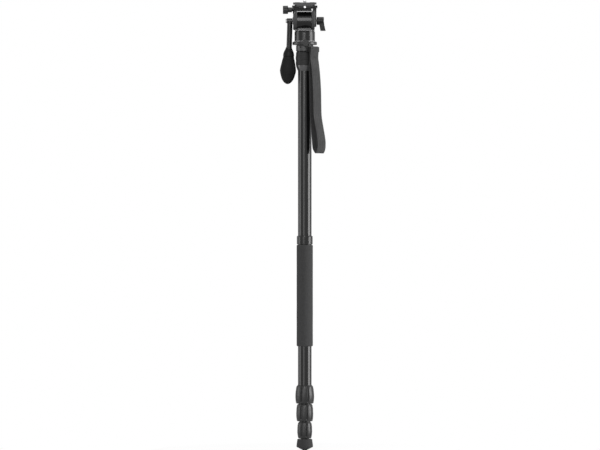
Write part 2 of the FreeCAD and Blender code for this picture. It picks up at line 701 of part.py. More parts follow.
def make_strap():
    t = STRAP_THICK
    eye_r = BAR_R + EYE_GAP
    wrap = eye_r + t
    diagonal = wrap * 0.7
    outside = [(drop, outer) for drop, inner, outer in STRAP_SHAPE]
    inside = [(drop, inner) for drop, inner, outer in reversed(STRAP_SHAPE)]
    outline = [
        (-wrap, 0.0), (-diagonal, diagonal), (0.0, wrap), (6.0, wrap * 0.85),
        (11.0, t + 0.9 - STITCH_INSET), (STITCH_TOP, t - STITCH_INSET),
        (STITCH_BOTTOM, t - STITCH_INSET),
    ] + outside + [(STRAP_END_DROP, STRAP_END_REACH)] + inside + [
        (STITCH_BOTTOM, -t - STITCH_INSET), (STITCH_TOP, -t - STITCH_INSET),
        (8.0, -wrap * 0.9), (0.0, -wrap), (-diagonal, -diagonal),
    ]
    hollow = [(STITCH_BOTTOM + 1.5, -STITCH_INSET)]
    hollow += [(drop, outer - t) for drop, outer in outside]
    hollow += [(STRAP_END_DROP - t, STRAP_END_REACH)]
    hollow += [(drop, inner + t) for drop, inner in inside]
    width = V(STRAP_WIDTH, 0, 0)
    eye = cyl_x(eye_r, 0, STRAP_WIDTH, -BAR_REACH, BAR_Z)
    throat = slab_x([
        (-BAR_REACH - eye_r, BAR_Z), (-BAR_REACH + eye_r, BAR_Z),
        (-BAR_REACH + STITCH_INSET, BAR_Z - STITCH_TOP + 1.0),
    ], 0, STRAP_WIDTH)
    strap = cut(strap_face(outline).extrude(width), [
        strap_face(hollow).extrude(width), eye.fuse(throat),
    ])
    strap.translate(V(-STRAP_WIDTH / 2, 0, 0))
    keep("wrist_strap", turn_to_strap(strap))


# Pan base, lock knob and neck

def make_pan_base():
    post_top = PAN_NUT_Z + PAN_NUT_H
    groove_z = NECK_Z - SPIGOT_DEPTH - FREE
    foot_r = PLATFORM_R - BASE_FOOT_INSET
    base = turned(closed_runs([
        (0, BASE_Z), (foot_r, BASE_Z), (foot_r, RING_Z), (BASE_R - BASE_BEVEL, RING_Z),
        (BASE_R, RING_Z + BASE_BEVEL), (BASE_R, WASHER_Z - BASE_BEVEL),
        (BASE_R - BASE_BEVEL, WASHER_Z), (SPIGOT_R + FREE, WASHER_Z),
        (SPIGOT_R + FREE, groove_z), (POST_R, groove_z), (POST_R, post_top), (0, post_top),
    ]))
    level = RING_Z + BASE_RING_H / 2
    head = -BASE_R - PAN_KNOB_STANDOFF
    tip = -SPIGOT_R - FACE
    hole = cyl_y(PAN_SCREW_R + RUN, -BASE_R - OVER, tip + FREE, 0, level)
    knob = cyl_y(PAN_KNOB_R, head - PAN_KNOB_L, head, 0, level)
    flute = cyl_y(KNOB_FLUTE_R, head - PAN_KNOB_L - OVER, head - 1.8, PAN_KNOB_R + 0.7, level)
    knob = cut(knob, around(flute, 12, 0, V(0, 0, level), V(0, 1, 0)))
    hub = cyl_y(PAN_KNOB_HUB_R, head - 0.5, -BASE_R - FREE, 0, level)
    screw = cyl_y(PAN_SCREW_R, head - PAN_SCREW_IN_KNOB, tip, 0, level)
    stud_hole = cyl(HEAD_STUD_R, BASE_Z - OVER, WASHER_Z - 0.5)
    shapes = {
        "pan_base": cut(base, [stud_hole, hole]),
        "pan_lock_knob": fuse([knob, hub]).cut(screw),
        "pan_lock_screw": screw,
    }
    for name, shape in shapes.items():
        shape.rotate(V(0, 0, 0), V(0, 0, 1), PAN_KNOB_AZIMUTH)
        keep(name, shape)
    keep("pan_washer", pipe(NECK_R - 1.0, SPIGOT_R + WASHER_GAP, WASHER_Z, NECK_Z))
    keep("pan_nut", pipe(PAN_NUT_R, POST_R, PAN_NUT_Z, post_top))


def facet(sign):
    """Wedge that slants off the neck's top edge, at the front or at the back."""
    slope = FACET_DEPTH / FACET_DROP
    rise = 3.0
    past = 4.0
    inner_y = NECK_R - FACET_DEPTH - rise * slope
    return slab_x([
        (sign * inner_y, FLANGE_TOP + rise),
        (sign * (NECK_R + past), FLANGE_TOP + rise),
        (sign * (NECK_R + past), FLANGE_TOP - FACET_DROP - past / slope),
    ], -NECK_R - past, NECK_R + past)


def make_neck():
    cavity = PAN_NUT_R + PAN_NUT_ROOM
    bore = POST_R + RUN
    low = NECK_Z - SPIGOT_DEPTH
    neck = turned(closed_runs([
        (bore, low), (SPIGOT_R, low), (SPIGOT_R, NECK_Z), (SKIRT_R, NECK_Z),
        (NECK_R + 0.3, NECK_Z + SKIRT_H), (NECK_R, NECK_Z + SKIRT_H + 0.7),
        (NECK_R, GROOVE_Z), (cavity, GROOVE_Z), (cavity, NECK_Z + NECK_FLOOR),
        (bore, NECK_Z + NECK_FLOOR),
    ]))
    keep("pan_neck", cut(neck, [facet(-1), facet(1)]))


def make_drum():
    plug_r = PAN_NUT_R + PAN_NUT_ROOM
    plug_z = GROOVE_Z - TOP_PLUG_DEPTH
    groove_r = NECK_R - GROOVE_DEPTH
    rim = NECK_R - TOP_FLANGE_INSET
    flange = turned(closed_runs([
        (0, plug_z), (plug_r, plug_z), (plug_r, GROOVE_Z), (groove_r, GROOVE_Z),
        (groove_r, FLANGE_Z), (rim, FLANGE_Z), (rim, FLANGE_TOP - 0.3),
        (rim - 0.3, FLANGE_TOP), (0, FLANGE_TOP),
    ]))
    pedestal = block(DRUM_LEFT + PEDESTAL_INSET, DRUM_RIGHT - PEDESTAL_INSET,
                     -PEDESTAL_HALF_Y, PEDESTAL_HALF_Y, FLANGE_TOP - OVER, AXIS_Z)
    drum = cyl_x(DRUM_R, DRUM_LEFT, DRUM_RIGHT)
    core_r = DRUM_R - DRUM_WALL
    seat_r = core_r + CAP_LEDGE
    left_seat = cyl_x(seat_r, DRUM_LEFT, DRUM_LEFT + CAP_T)
    right_seat = cyl_x(seat_r, DRUM_RIGHT - CAP_T, DRUM_RIGHT)
    core = cyl_x(core_r, DRUM_LEFT + CAP_T, DRUM_RIGHT - CAP_T)
    bore = cyl_x(AXLE_R, DRUM_LEFT - OVER, DRUM_RIGHT + OVER)
    body = fuse([cut(flange, [facet(-1), facet(1)]), pedestal, drum])
    keep("tilt_housing", cut(body, [left_seat, right_seat, core]))
    keep("drum_caps", Part.makeCompound([left_seat.cut(bore), right_seat.cut(bore)]))
    keep("drag_cartridge", core.cut(bore))
    keep("tilt_axle", fuse([
        cyl_x(AXLE_R, AXLE_LEFT, YOKE_RIGHT - FREE),
        cyl_x(AXLE_END_R, YOKE_RIGHT - OVER, AXLE_END),
    ]))


# Tilt yoke with the fixed jaw, and the moving jaw

def arm(x0, x1, r, outer_x):
    """Cheek that hangs from the clamp to a round end about the tilt axis."""
    web = block(x0, x1, -r, r, AXIS_Z, YOKE_Z)
    whole = cyl_x(r, x0, x1).fuse(web).removeSplitter()
    rim = []
    for edge in whole.Edges:
        on_face = all(abs(v.X - outer_x) < 0.001 for v in edge.Vertexes)
        if on_face and edge.CenterOfMass.z < YOKE_Z - OVER:
            rim.append(edge)
    return whole.makeChamfer(ARM_BEVEL, rim)


def jaw_outline(sign, side_x, foot):
    """Section of a jaw from its inner ledge up, over its lip and down its outer side."""
    inner = CHANNEL_HALF
    lip = abs(side_x) + JAW_OVERHANG
    upper = inner - DOVETAIL_SLOPE
    points = [
        (inner, LAND_Z), (upper, LAND_Z + DOVETAIL_SLOPE), (upper, JAW_TOP_Z),
        (lip - JAW_LIP_BEVEL, JAW_TOP_Z), (lip, JAW_TOP_Z - JAW_LIP_BEVEL),
        (lip, LEDGE_Z + JAW_LIP_LOW),
    ]
    return [(sign * x, z) for x, z in points] + foot


def make_yoke():
    half = CLAMP_LENGTH / 2
    seat_x = LEFT_OUT + JAW_FLANGE_T - JAW_PROUD + 0.2
    keel = KEEL_HALF + FREE
    flange_low = LEDGE_Z - JAW_DROP
    right_side = jaw_outline(1, YOKE_RIGHT, [(YOKE_RIGHT, LEDGE_Z + 0.2), (YOKE_RIGHT, YOKE_Z)])
    clamp = slab_y([
        (seat_x, YOKE_Z), (seat_x, LEDGE_Z), (-keel, LEDGE_Z), (-keel, FLOOR_Z),
        (keel, FLOOR_Z), (keel, LEDGE_Z), (CHANNEL_HALF, LEDGE_Z),
    ] + right_side, half)
    left_arm = arm(LEFT_OUT, LEFT_IN, ARM_R, LEFT_OUT)
    recess = block(LEFT_OUT - OVER, seat_x, -half - OVER, half + OVER,
                   flange_low - 0.2, YOKE_Z + OVER)
    right_arm = arm(RIGHT_IN, RIGHT_OUT, ARM_R, RIGHT_OUT)
    boss = arm(RIGHT_OUT - 2.0, YOKE_RIGHT, RIGHT_BOSS_R, YOKE_RIGHT)
    tooth_x = LEFT_OUT - ROSETTE_T
    rosette = cyl_x(ROSETTE_R, tooth_x, LEFT_OUT + OVER)
    tooth = slab_x([(-0.45, AXIS_Z), (0.45, AXIS_Z), (0.0, AXIS_Z + ROSETTE_R + OVER)],
                   tooth_x - OVER, tooth_x + ROSETTE_TOOTH_H)
    rosette = cut(rosette, around(tooth, ROSETTE_TEETH, 0, V(0, 0, AXIS_Z), V(1, 0, 0)))
    bush_r = AXLE_R + RUN + BUSH_WALL
    relief_x = RIGHT_IN + RELIEF_INSET - 0.3
    relief_z = YOKE_Z + RELIEF_RISE + RELIEF_R
    pin_r = GUIDE_PIN_R + RUN
    pin_y = GUIDE_PIN_SPACING / 2
    pin_end = LEFT_OUT + GUIDE_PIN_LENGTH
    whole = fuse([clamp, left_arm.cut(recess), right_arm, boss, rosette])
    keep("tilt_yoke", cut(whole, [
        cyl_x(bush_r, AXLE_LEFT, LEFT_IN + OVER),
        cyl_x(bush_r, RIGHT_IN - OVER, YOKE_RIGHT + OVER),
        cyl_x(HANDLE_BOLT_R, tooth_x - OVER, LEFT_OUT + HANDLE_BOLT_IN_ARM - ROSETTE_T),
        cyl_y(RELIEF_R, -half - OVER, half + OVER, relief_x, relief_z),
        block(relief_x - RELIEF_NOTCH / 2, relief_x + RELIEF_NOTCH / 2, -half - OVER,
              half + OVER, YOKE_Z - OVER, relief_z),
        cyl_x(CLAMP_SCREW_R + RUN, seat_x - OVER, OVER - CLAMP_SCREW_END, 0, SCREW_Z),
        cyl_x(RETAINER_R + RETAINER_ROOM, seat_x - OVER, seat_x + 2 * RETAINER_T, 0, SCREW_Z),
        cyl_x(pin_r, seat_x - OVER, pin_end + RETAINER_ROOM, -pin_y, SCREW_Z),
        cyl_x(pin_r, seat_x - OVER, pin_end + RETAINER_ROOM, pin_y, SCREW_Z),
    ]))
    shaft = cyl_x(AXLE_R + RUN, AXLE_LEFT - OVER, YOKE_RIGHT + OVER)
    keep("axle_bushes", Part.makeCompound([
        cyl_x(bush_r, AXLE_LEFT, LEFT_IN).cut(shaft),
        cyl_x(bush_r, RIGHT_IN, YOKE_RIGHT).cut(shaft),
    ]))
    make_jaw(half, seat_x, flange_low, pin_y, pin_end)


def handle_room():
    """Space that the handle's rod fills when it is swung up to either limit."""
    half = HANDLE_R + FREE
    rod = block(2 * HANDLE_X, 0, -half, half, AXIS_Z - ROD_LENGTH, AXIS_Z)
    rooms = []
    for swing in (-HANDLE_SWING, HANDLE_SWING):
        room = rod.copy()
        room.rotate(V(0, 0, AXIS_Z), V(1, 0, 0), swing)
        rooms.append(room)
    return rooms


def make_jaw(half, seat_x, flange_low, pin_y, pin_end):
    face_x = seat_x - 0.2
    flange_x = LEFT_OUT - JAW_PROUD
    under = LEDGE_Z + 0.2
    jaw = slab_y(jaw_outline(-1, LEFT_OUT, [
        (flange_x, under), (flange_x, flange_low), (face_x, flange_low), (face_x, under),
        (-CHANNEL_HALF, under),
    ]), half)
    pin_x = flange_x + 0.4
    pins = [cyl_x(GUIDE_PIN_R, pin_x, pin_end, y, SCREW_Z) for y in (-pin_y, pin_y)]
    hole = cyl_x(CLAMP_SCREW_R + RUN, flange_x - OVER, face_x + OVER, 0, SCREW_Z)
    keep("clamp_jaw", cut(jaw, pins + [hole] + handle_room()))
    keep("jaw_guide_pins", Part.makeCompound(pins))
    hub_right = LEFT_OUT - JAW_OVERHANG - FREE
    hub_left = hub_right - CLAMP_HUB_L
    knob_left = hub_left - CLAMP_KNOB_T
    grip = cyl_x(CLAMP_KNOB_R, knob_left, hub_left, 0, SCREW_Z)
    grip = grip.makeChamfer(KNOB_EDGE, [e for e in grip.Edges if e.Closed])
    flute_z = SCREW_Z + CLAMP_KNOB_R + KNOB_FLUTE_R / 2
    flute = cyl_x(KNOB_FLUTE_R, knob_left - OVER, hub_left + OVER, 0, flute_z)
    grip = cut(grip, around(flute, CLAMP_KNOB_FLUTES, 0, V(0, 0, SCREW_Z), V(1, 0, 0)))
    neck = cyl_x(CLAMP_NECK_R, hub_right - OVER, flange_x - FACE, 0, SCREW_Z)
    hub = cyl_x(CLAMP_HUB_R, hub_left - OVER, hub_right, 0, SCREW_Z)
    screw = cyl_x(CLAMP_SCREW_R, knob_left + 2.5, -CLAMP_SCREW_END, 0, SCREW_Z)
    ring_x = face_x + FACE
    ring = cyl_x(RETAINER_R, ring_x, ring_x + RETAINER_T, 0, SCREW_Z)
    keep("clamp_knob", fuse([grip, hub, neck]).cut(screw))
    keep("clamp_screw", fuse([screw, ring]))


# Quick-release plate

def make_plate():
    half = PLATE_LENGTH / 2
    neck_half = DOVETAIL_HALF - DOVETAIL_SLOPE
    right = [
        (KEEL_HALF, KEEL_Z), (KEEL_HALF, DOVETAIL_Z), (DOVETAIL_HALF, DOVETAIL_Z),
        (DOVETAIL_HALF, LAND_Z), (neck_half, LAND_Z + DOVETAIL_SLOPE), (neck_half, BODY_Z),
        (PLATE_BODY_HALF, BODY_Z), (PLATE_BODY_HALF, PLATE_TOP_Z),
        (PLATE_TOP_HALF, PLATE_TOP_Z), (PLATE_TOP_HALF, PLATE_Z - PLATE_TOP_BEVEL),
        (PLATE_TOP_HALF - PLATE_TOP_BEVEL, PLATE_Z),
    ]
    left = [(-x, z) for x, z in reversed(right)]
    pad_y = half - PAD_MARGIN
    pads = []
    for x0 in (-PAD_OUTER, PAD_INNER):
        x1 = x0 + PAD_OUTER - PAD_INNER
        pads.append(block(x0, x1, -pad_y, pad_y, PLATE_Z - PAD_RECESS, PLATE_Z + PAD_RISE))
    stop_z = FLOOR_Z - STOP_OVERHANG + STOP_R
    ball_r = STOP_R * 1.25
    stops = []
    shanks = []
    for sign in (-1, 1):
        face_y = sign * half
        tip_y = face_y + sign * STOP_HEAD_T
        head = cyl_y(STOP_R, face_y, tip_y, 0, stop_z)
        dome = head.common(Part.makeSphere(ball_r, V(0, tip_y - sign * ball_r, stop_z)))
        shank = cyl_y(STOP_SHANK_R, face_y, face_y - sign * STOP_SHANK_L, 0, stop_z)
        stops.append(dome.fuse(shank).removeSplitter())
        shanks.append(shank)
    head_z = KEEL_Z + CAMERA_HEAD_RISE
    head_top = head_z + CAMERA_HEAD_H
    pocket = cyl(CAMERA_HEAD_R + CAMERA_HEAD_ROOM, KEEL_Z - OVER, head_top + FACE)
    hole = cyl(CAMERA_SHANK_R + RUN, KEEL_Z, PLATE_Z + OVER)
    keep("plate_body", cut(slab_y(right + left, half), pads + shanks + [pocket, hole]))
    keep("plate_pads", Part.makeCompound(pads))
    keep("plate_stop_screws", Part.makeCompound(stops))
    point_z = SCREW_TOP_Z - CAMERA_SCREW_POINT
    point = Part.makeCone(CAMERA_SCREW_R, CAMERA_SCREW_R - 0.6, CAMERA_SCREW_POINT,
                          V(0, 0, point_z))
    slot = block(-CAMERA_HEAD_R - OVER, CAMERA_HEAD_R + OVER, -COIN_SLOT_W / 2, COIN_SLOT_W / 2,
                 head_z - OVER, head_z + COIN_SLOT_DEPTH)
    thread_z = PLATE_Z + PAD_RISE
    keep("camera_screw", fuse([
        cyl(CAMERA_HEAD_R, head_z, head_top), cyl(CAMERA_SHANK_R, head_top - OVER, thread_z),
        cyl(CAMERA_SCREW_R, thread_z, point_z), point,
    ]).cut(slot))


# Tilt lock: threaded insert on the axle's end and the lever that lifts off its splines

def rounded_ring(x0, x1, z):
    """Level section of the lever's arm, with round corners."""
    half = LEVER_ARM_W / 2
    edge = LEVER_ARM_EDGE
    nip = edge * (1 - math.sqrt(0.5))
    runs = []
    corners = [(x1, -half, -1, 1), (x1, half, -1, -1), (x0, half, 1, -1), (x0, -half, 1, 1)]
    for i, (x, y, sx, sy) in enumerate(corners):
        along_x = V(x + sx * edge, y, z)
        along_y = V(x, y + sy * edge, z)
        first, last = (along_x, along_y) if i % 2 == 0 else (along_y, along_x)
        runs.append(Part.Arc(first, V(x + sx * nip, y + sy * nip, z), last).toShape())
    edges = []
    for i, corner in enumerate(runs):
        start = runs[i - 1].Vertexes[-1].Point
        edges += [Part.LineSegment(start, corner.Vertexes[0].Point).toShape(), corner]
    return Part.Wire(edges)


def make_tilt_lock():
    flange_r = INSERT_R + INSERT_FLANGE
    flange_x = INSERT_X + INSERT_FLANGE_T
    bolt_hole = cyl_x(LEVER_BOLT_R, AXLE_END, INSERT_END + OVER)
    keep("tilt_lock_insert", cut(fuse([
        cyl_x(flange_r, INSERT_X, flange_x), cyl_x(INSERT_R, INSERT_X, INSERT_END),
    ]), [cyl_x(AXLE_END_R + RUN, INSERT_X - OVER, AXLE_END + FREE), bolt_hole]))
    hub_x = INSERT_X + 0.3
    hub_end = hub_x + LEVER_L
    web_x = INSERT_END + FREE
    web_end = web_x + LEVER_WEB
    hub = cyl_x(LEVER_R, hub_x, hub_end)
    hub = hub.makeChamfer(LEVER_BEVEL, [e for e in hub.Edges if e.Closed])
    low = AXIS_Z - LEVER_REACH
    knee = AXIS_Z - LEVER_R - OVER
    arm_x = hub_end + OVER
    lever = Part.makeLoft([
        rounded_ring(arm_x - LEVER_ARM_T, arm_x - OVER, AXIS_Z),
        rounded_ring(arm_x - LEVER_ARM_T, arm_x, knee),
        rounded_ring(arm_x - LEVER_ARM_T + LEVER_ARM_FLARE * 0.8, arm_x + LEVER_ARM_FLARE, low),
    ], True, True)
    keep("tilt_lock_lever", cut(fuse([lever, hub]), [
        cyl_x(flange_r + FREE, hub_x - OVER, flange_x + FREE),
        cyl_x(INSERT_R + RUN, hub_x - OVER, web_x),
        cyl_x(LEVER_BOLT_R + FREE, web_x - OVER, web_end + OVER),
        cyl_x(LEVER_RECESS_R, web_end, hub_end + 5 * OVER),
    ]))
    head_x = hub_end - 1.1
    head_end = hub_end - 0.1
    socket = cyl_x(LEVER_BOLT_SOCKET_R, head_x + FREE, head_end)
    keep("tilt_lever_screw", fuse([
        cyl_x(LEVER_BOLT_R, AXLE_END + 2 * FREE, head_x + FREE),
        cyl_x(LEVER_BOLT_HEAD_R, head_x, head_end),
    ]).cut(socket))


# Pan handle, drawn straight down from its pivot and then leaned outward

def grip_half_widths():
    """Half width of the grip against distance from the pivot."""
    start = FERRULE_START + FERRULE_LENGTH + GRIP_GAP
    swell = GRIP_BELLY_R - GRIP_TOP_R
    shares = [(0.0, 0.0), (0.14, 0.29), (0.39, 0.84), (0.53, 1.0), (0.69, 0.61)]
    points = [(start + GRIP_LENGTH * s, GRIP_TOP_R + swell * k) for s, k in shares]
    ends = [(0.83, 0.71), (0.94, 0.43), (1.0, 0.0)]
    return points + [(start + GRIP_LENGTH * s, GRIP_BELLY_R * k) for s, k in ends]


def column_side(z):
    """Outer radius of the column at a height, beside the hanging grip."""
    if z >= SLEEVE_Z - OVER:
        return SLEEVE_R + SLEEVE_BULGE
    share = max(0.0, (z - CONE_Z) / CONE_H)
    return TUBE_R[0] + CONE_FLARE * share ** 0.7


def handle_lean():
    """Outward slope that keeps the grip's side clear of the column."""
    slope = 0.0
    for distance, half_width in grip_half_widths():
        reach = column_side(AXIS_Z - distance) + GRIP_CLEARANCE + half_width
        slope = max(slope, (reach + HANDLE_X) / distance)
    return math.degrees(math.atan(slope))


def lean(shape):
    shape.rotate(V(0, 0, 0), V(0, 1, 0), handle_lean())
    shape.translate(V(HANDLE_X, 0, AXIS_Z))
    return shape


def squeezed(shape, flatness):
    matrix = FreeCAD.Matrix()
    matrix.scale(1.0, flatness, 1.0)
    return shape.transformGeometry(matrix)


def grip_outline(scale):
    """Closed half outline of the grip, shrunk about its belly."""
    widths = grip_half_widths()
    belly = widths[3][0]
    side = [(r * scale, -belly - (d - belly) * scale) for d, r in widths]
    first = side[0][1]
    last = side[-1][1]
    return [[(0, first), (side[0][0], first)], side, [(0, last), (0, first)]]


def make_handle():
    rod = lean(Part.makeCylinder(HANDLE_R, ROD_LENGTH, V(0, 0, -ROD_LENGTH)))
    bore = Part.makeCylinder(HANDLE_R, ROD_BORE_LENGTH, V(0, 0, -ROD_LENGTH))
    knuckle_left = KNUCKLE_X - KNUCKLE_L
    knuckle = cyl_x(KNUCKLE_R, knuckle_left, KNUCKLE_X)
    past_face = block(KNUCKLE_X, KNUCKLE_X + 2 * HANDLE_R, -2 * HANDLE_R, 2 * HANDLE_R,
                      AXIS_Z - ROD_LENGTH / 2, AXIS_Z + ROD_LENGTH / 2)
    head_left = knuckle_left - HANDLE_BOLT_HEAD_T
    bolt = fuse([
        cyl_x(HANDLE_BOLT_HEAD_R, head_left, knuckle_left),
        cyl_x(HANDLE_BOLT_R, knuckle_left - OVER, LEFT_OUT + HANDLE_BOLT_IN_ARM - ROSETTE_T),
    ])
    socket = cyl_x(HANDLE_BOLT_SOCKET_R, head_left, head_left + HANDLE_BOLT_SOCKET_R)
    keep("handle_rod", cut(fuse([rod, knuckle]), [bolt, past_face]))
    keep("handle_bolt", bolt.cut(socket))
    end = FERRULE_START + FERRULE_LENGTH
    start_r = HANDLE_R + FERRULE_EDGE
    low_r = GRIP_TOP_R - 0.1
    body = squeezed(turned([
        [(0, -FERRULE_START), (start_r, -FERRULE_START)],
        [(start_r, -FERRULE_START), (start_r + (low_r - start_r) * 0.5, -FERRULE_START - 6.4),
         (low_r - 0.6, -FERRULE_START - FERRULE_LENGTH * 0.7)],
        [(low_r - 0.6, -FERRULE_START - FERRULE_LENGTH * 0.7), (low_r, -end)],
        [(low_r, -end), (0, -end)],
        [(0, -end), (0, -FERRULE_START)],
    ]), FERRULE_FLATNESS)
    collar_z = -FERRULE_START + FERRULE_EDGE
    collar = Part.makeCone(start_r + 0.2, start_r + 1.0, FERRULE_COLLAR, V(0, 0, collar_z), V(0, 0, -1))
    keep("handle_ferrule", lean(fuse([body, collar]).cut(bore)))
    solid = turned(grip_outline(1.0))
    floor = squeezed(solid, GRIP_FLATNESS - PANEL_DEPTH / GRIP_BELLY_R)
    half_panel = Part.Face(outline_wire(grip_outline(PANEL_SCALE)))
    half_panel.translate(V(0, -2 * GRIP_BELLY_R, 0))
    half_panel = half_panel.extrude(V(0, 4 * GRIP_BELLY_R, 0))
    panels = fuse(around(half_panel, 2))
    grip = squeezed(solid, GRIP_FLATNESS).cut(panels.cut(floor))
    keep("handle_grip", lean(grip.cut(bore)))


make_foot()
make_leg_tubes()
make_locks()
make_upper_leg()
make_column()
make_platform()
make_strap_bracket()
make_strap()
make_pan_base()
make_neck()
make_drum()
make_yoke()
make_plate()
make_tilt_lock()
make_handle()

os.makedirs("parts", exist_ok=True)
for name, shape in parts.items():
    solids = shape.Solids
    if not solids or not all(s.isValid() and s.Volume > 1.0 for s in solids):
        print("faulty solid in", name)
    whole = solids[0] if len(solids) == 1 else Part.makeCompound(solids)
    whole.exportStep("parts/" + name + ".step")
print(len(parts), "sub-parts, overall height", round(SCREW_TOP_Z, 1), "mm")
print("the handle leans outward by", round(handle_lean(), 2), "degrees")
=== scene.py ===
import json
import math
import bmesh
import bpy
from mathutils import Matrix, Vector, noise


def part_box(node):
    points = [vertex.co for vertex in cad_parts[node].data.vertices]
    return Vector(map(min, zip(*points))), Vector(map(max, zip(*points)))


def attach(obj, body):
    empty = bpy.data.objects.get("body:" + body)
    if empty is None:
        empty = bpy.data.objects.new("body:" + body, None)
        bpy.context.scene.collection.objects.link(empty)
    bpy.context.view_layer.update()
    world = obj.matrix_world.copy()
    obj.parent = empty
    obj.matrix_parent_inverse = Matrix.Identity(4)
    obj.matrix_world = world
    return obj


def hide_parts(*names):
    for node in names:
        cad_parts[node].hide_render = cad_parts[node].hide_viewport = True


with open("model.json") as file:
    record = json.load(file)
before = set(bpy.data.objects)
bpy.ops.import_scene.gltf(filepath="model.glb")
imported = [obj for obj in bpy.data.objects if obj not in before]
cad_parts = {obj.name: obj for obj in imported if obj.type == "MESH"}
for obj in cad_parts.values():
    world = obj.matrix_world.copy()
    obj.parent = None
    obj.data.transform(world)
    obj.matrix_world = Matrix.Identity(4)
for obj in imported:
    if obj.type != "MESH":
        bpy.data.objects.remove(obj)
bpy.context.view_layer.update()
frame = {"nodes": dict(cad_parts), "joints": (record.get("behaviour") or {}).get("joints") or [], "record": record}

mm = 0.001
fullTurn = 2 * math.pi
joints = {joint["name"]: joint for joint in frame["joints"]}


# node helpers, shared by every finish

def feed(tree, node, values):
    # a node's output is linked in, a plain value is set on the socket itself
    for socket, value in values.items():
        if isinstance(value, bpy.types.NodeSocket):
            tree.links.new(value, node.inputs[socket])
        else:
            node.inputs[socket].default_value = value


def addNode(tree, kind, settings=None, **inputs):
    # inputs go by name, with _ for a space, or by their place as i0 and i1
    node = tree.nodes.new("ShaderNode" + kind)
    for key, value in (settings or {}).items():
        setattr(node, key, value)
    feed(tree, node, {int(key[1:]) if key[1:].isdigit() else key.replace("_", " "): value
                      for key, value in inputs.items()})
    return node


def remap(tree, value, low, high, toLow, toHigh):
    node = addNode(tree, "MapRange", {"clamp": True}, Value=value, From_Min=low, From_Max=high,
                   To_Min=toLow, To_Max=toHigh)
    return node.outputs["Result"]


def mathNode(tree, operation, first, second=0.0):
    return addNode(tree, "Math", {"operation": operation}, i0=first, i1=second).outputs[0]


def multiply(tree, first, second):
    return mathNode(tree, "MULTIPLY", first, second)


def wave(tree, value):
    # one hump for each whole step of the value
    return mathNode(tree, "ABSOLUTE", mathNode(tree, "SINE", multiply(tree, value, math.pi)))


def objectSpot(tree, stretch=(1, 1, 1)):
    spot = addNode(tree, "TexCoord").outputs["Object"]
    return addNode(tree, "Mapping", Vector=spot, Scale=stretch).outputs["Vector"]


def grainOf(tree, scale, detail, stretch=(1, 1, 1)):
    return addNode(tree, "TexNoise", Vector=objectSpot(tree, stretch), Scale=scale,
                   Detail=detail).outputs["Fac"]


coolTint = 1.01  # a grey's blue over its red


def grey(value):
    # a plain number is a linear grey, a hair towards blue
    return (value, value, value * coolTint, 1.0) if isinstance(value, float) else (*value, 1.0)


def mixTones(tree, share, first, second):
    mix = addNode(tree, "Mix", {"data_type": "RGBA"}, Factor=share)
    firstSocket, secondSocket = [s for s in mix.inputs if s.type == "RGBA"]
    firstSocket.default_value, secondSocket.default_value = grey(first), grey(second)
    return [s for s in mix.outputs if s.type == "RGBA"][0]


def toned(tree, colour, value):
    return addNode(tree, "HueSaturation", Color=colour, Value=value).outputs["Color"]


def newMaterial(name):
    material = bpy.data.materials.new(name)
    material.use_nodes = True
    tree = material.node_tree
    return material, tree, tree.nodes["Principled BSDF"]


noiseSpan = (0.3, 0.7)  # nearly all of a noise lies between these

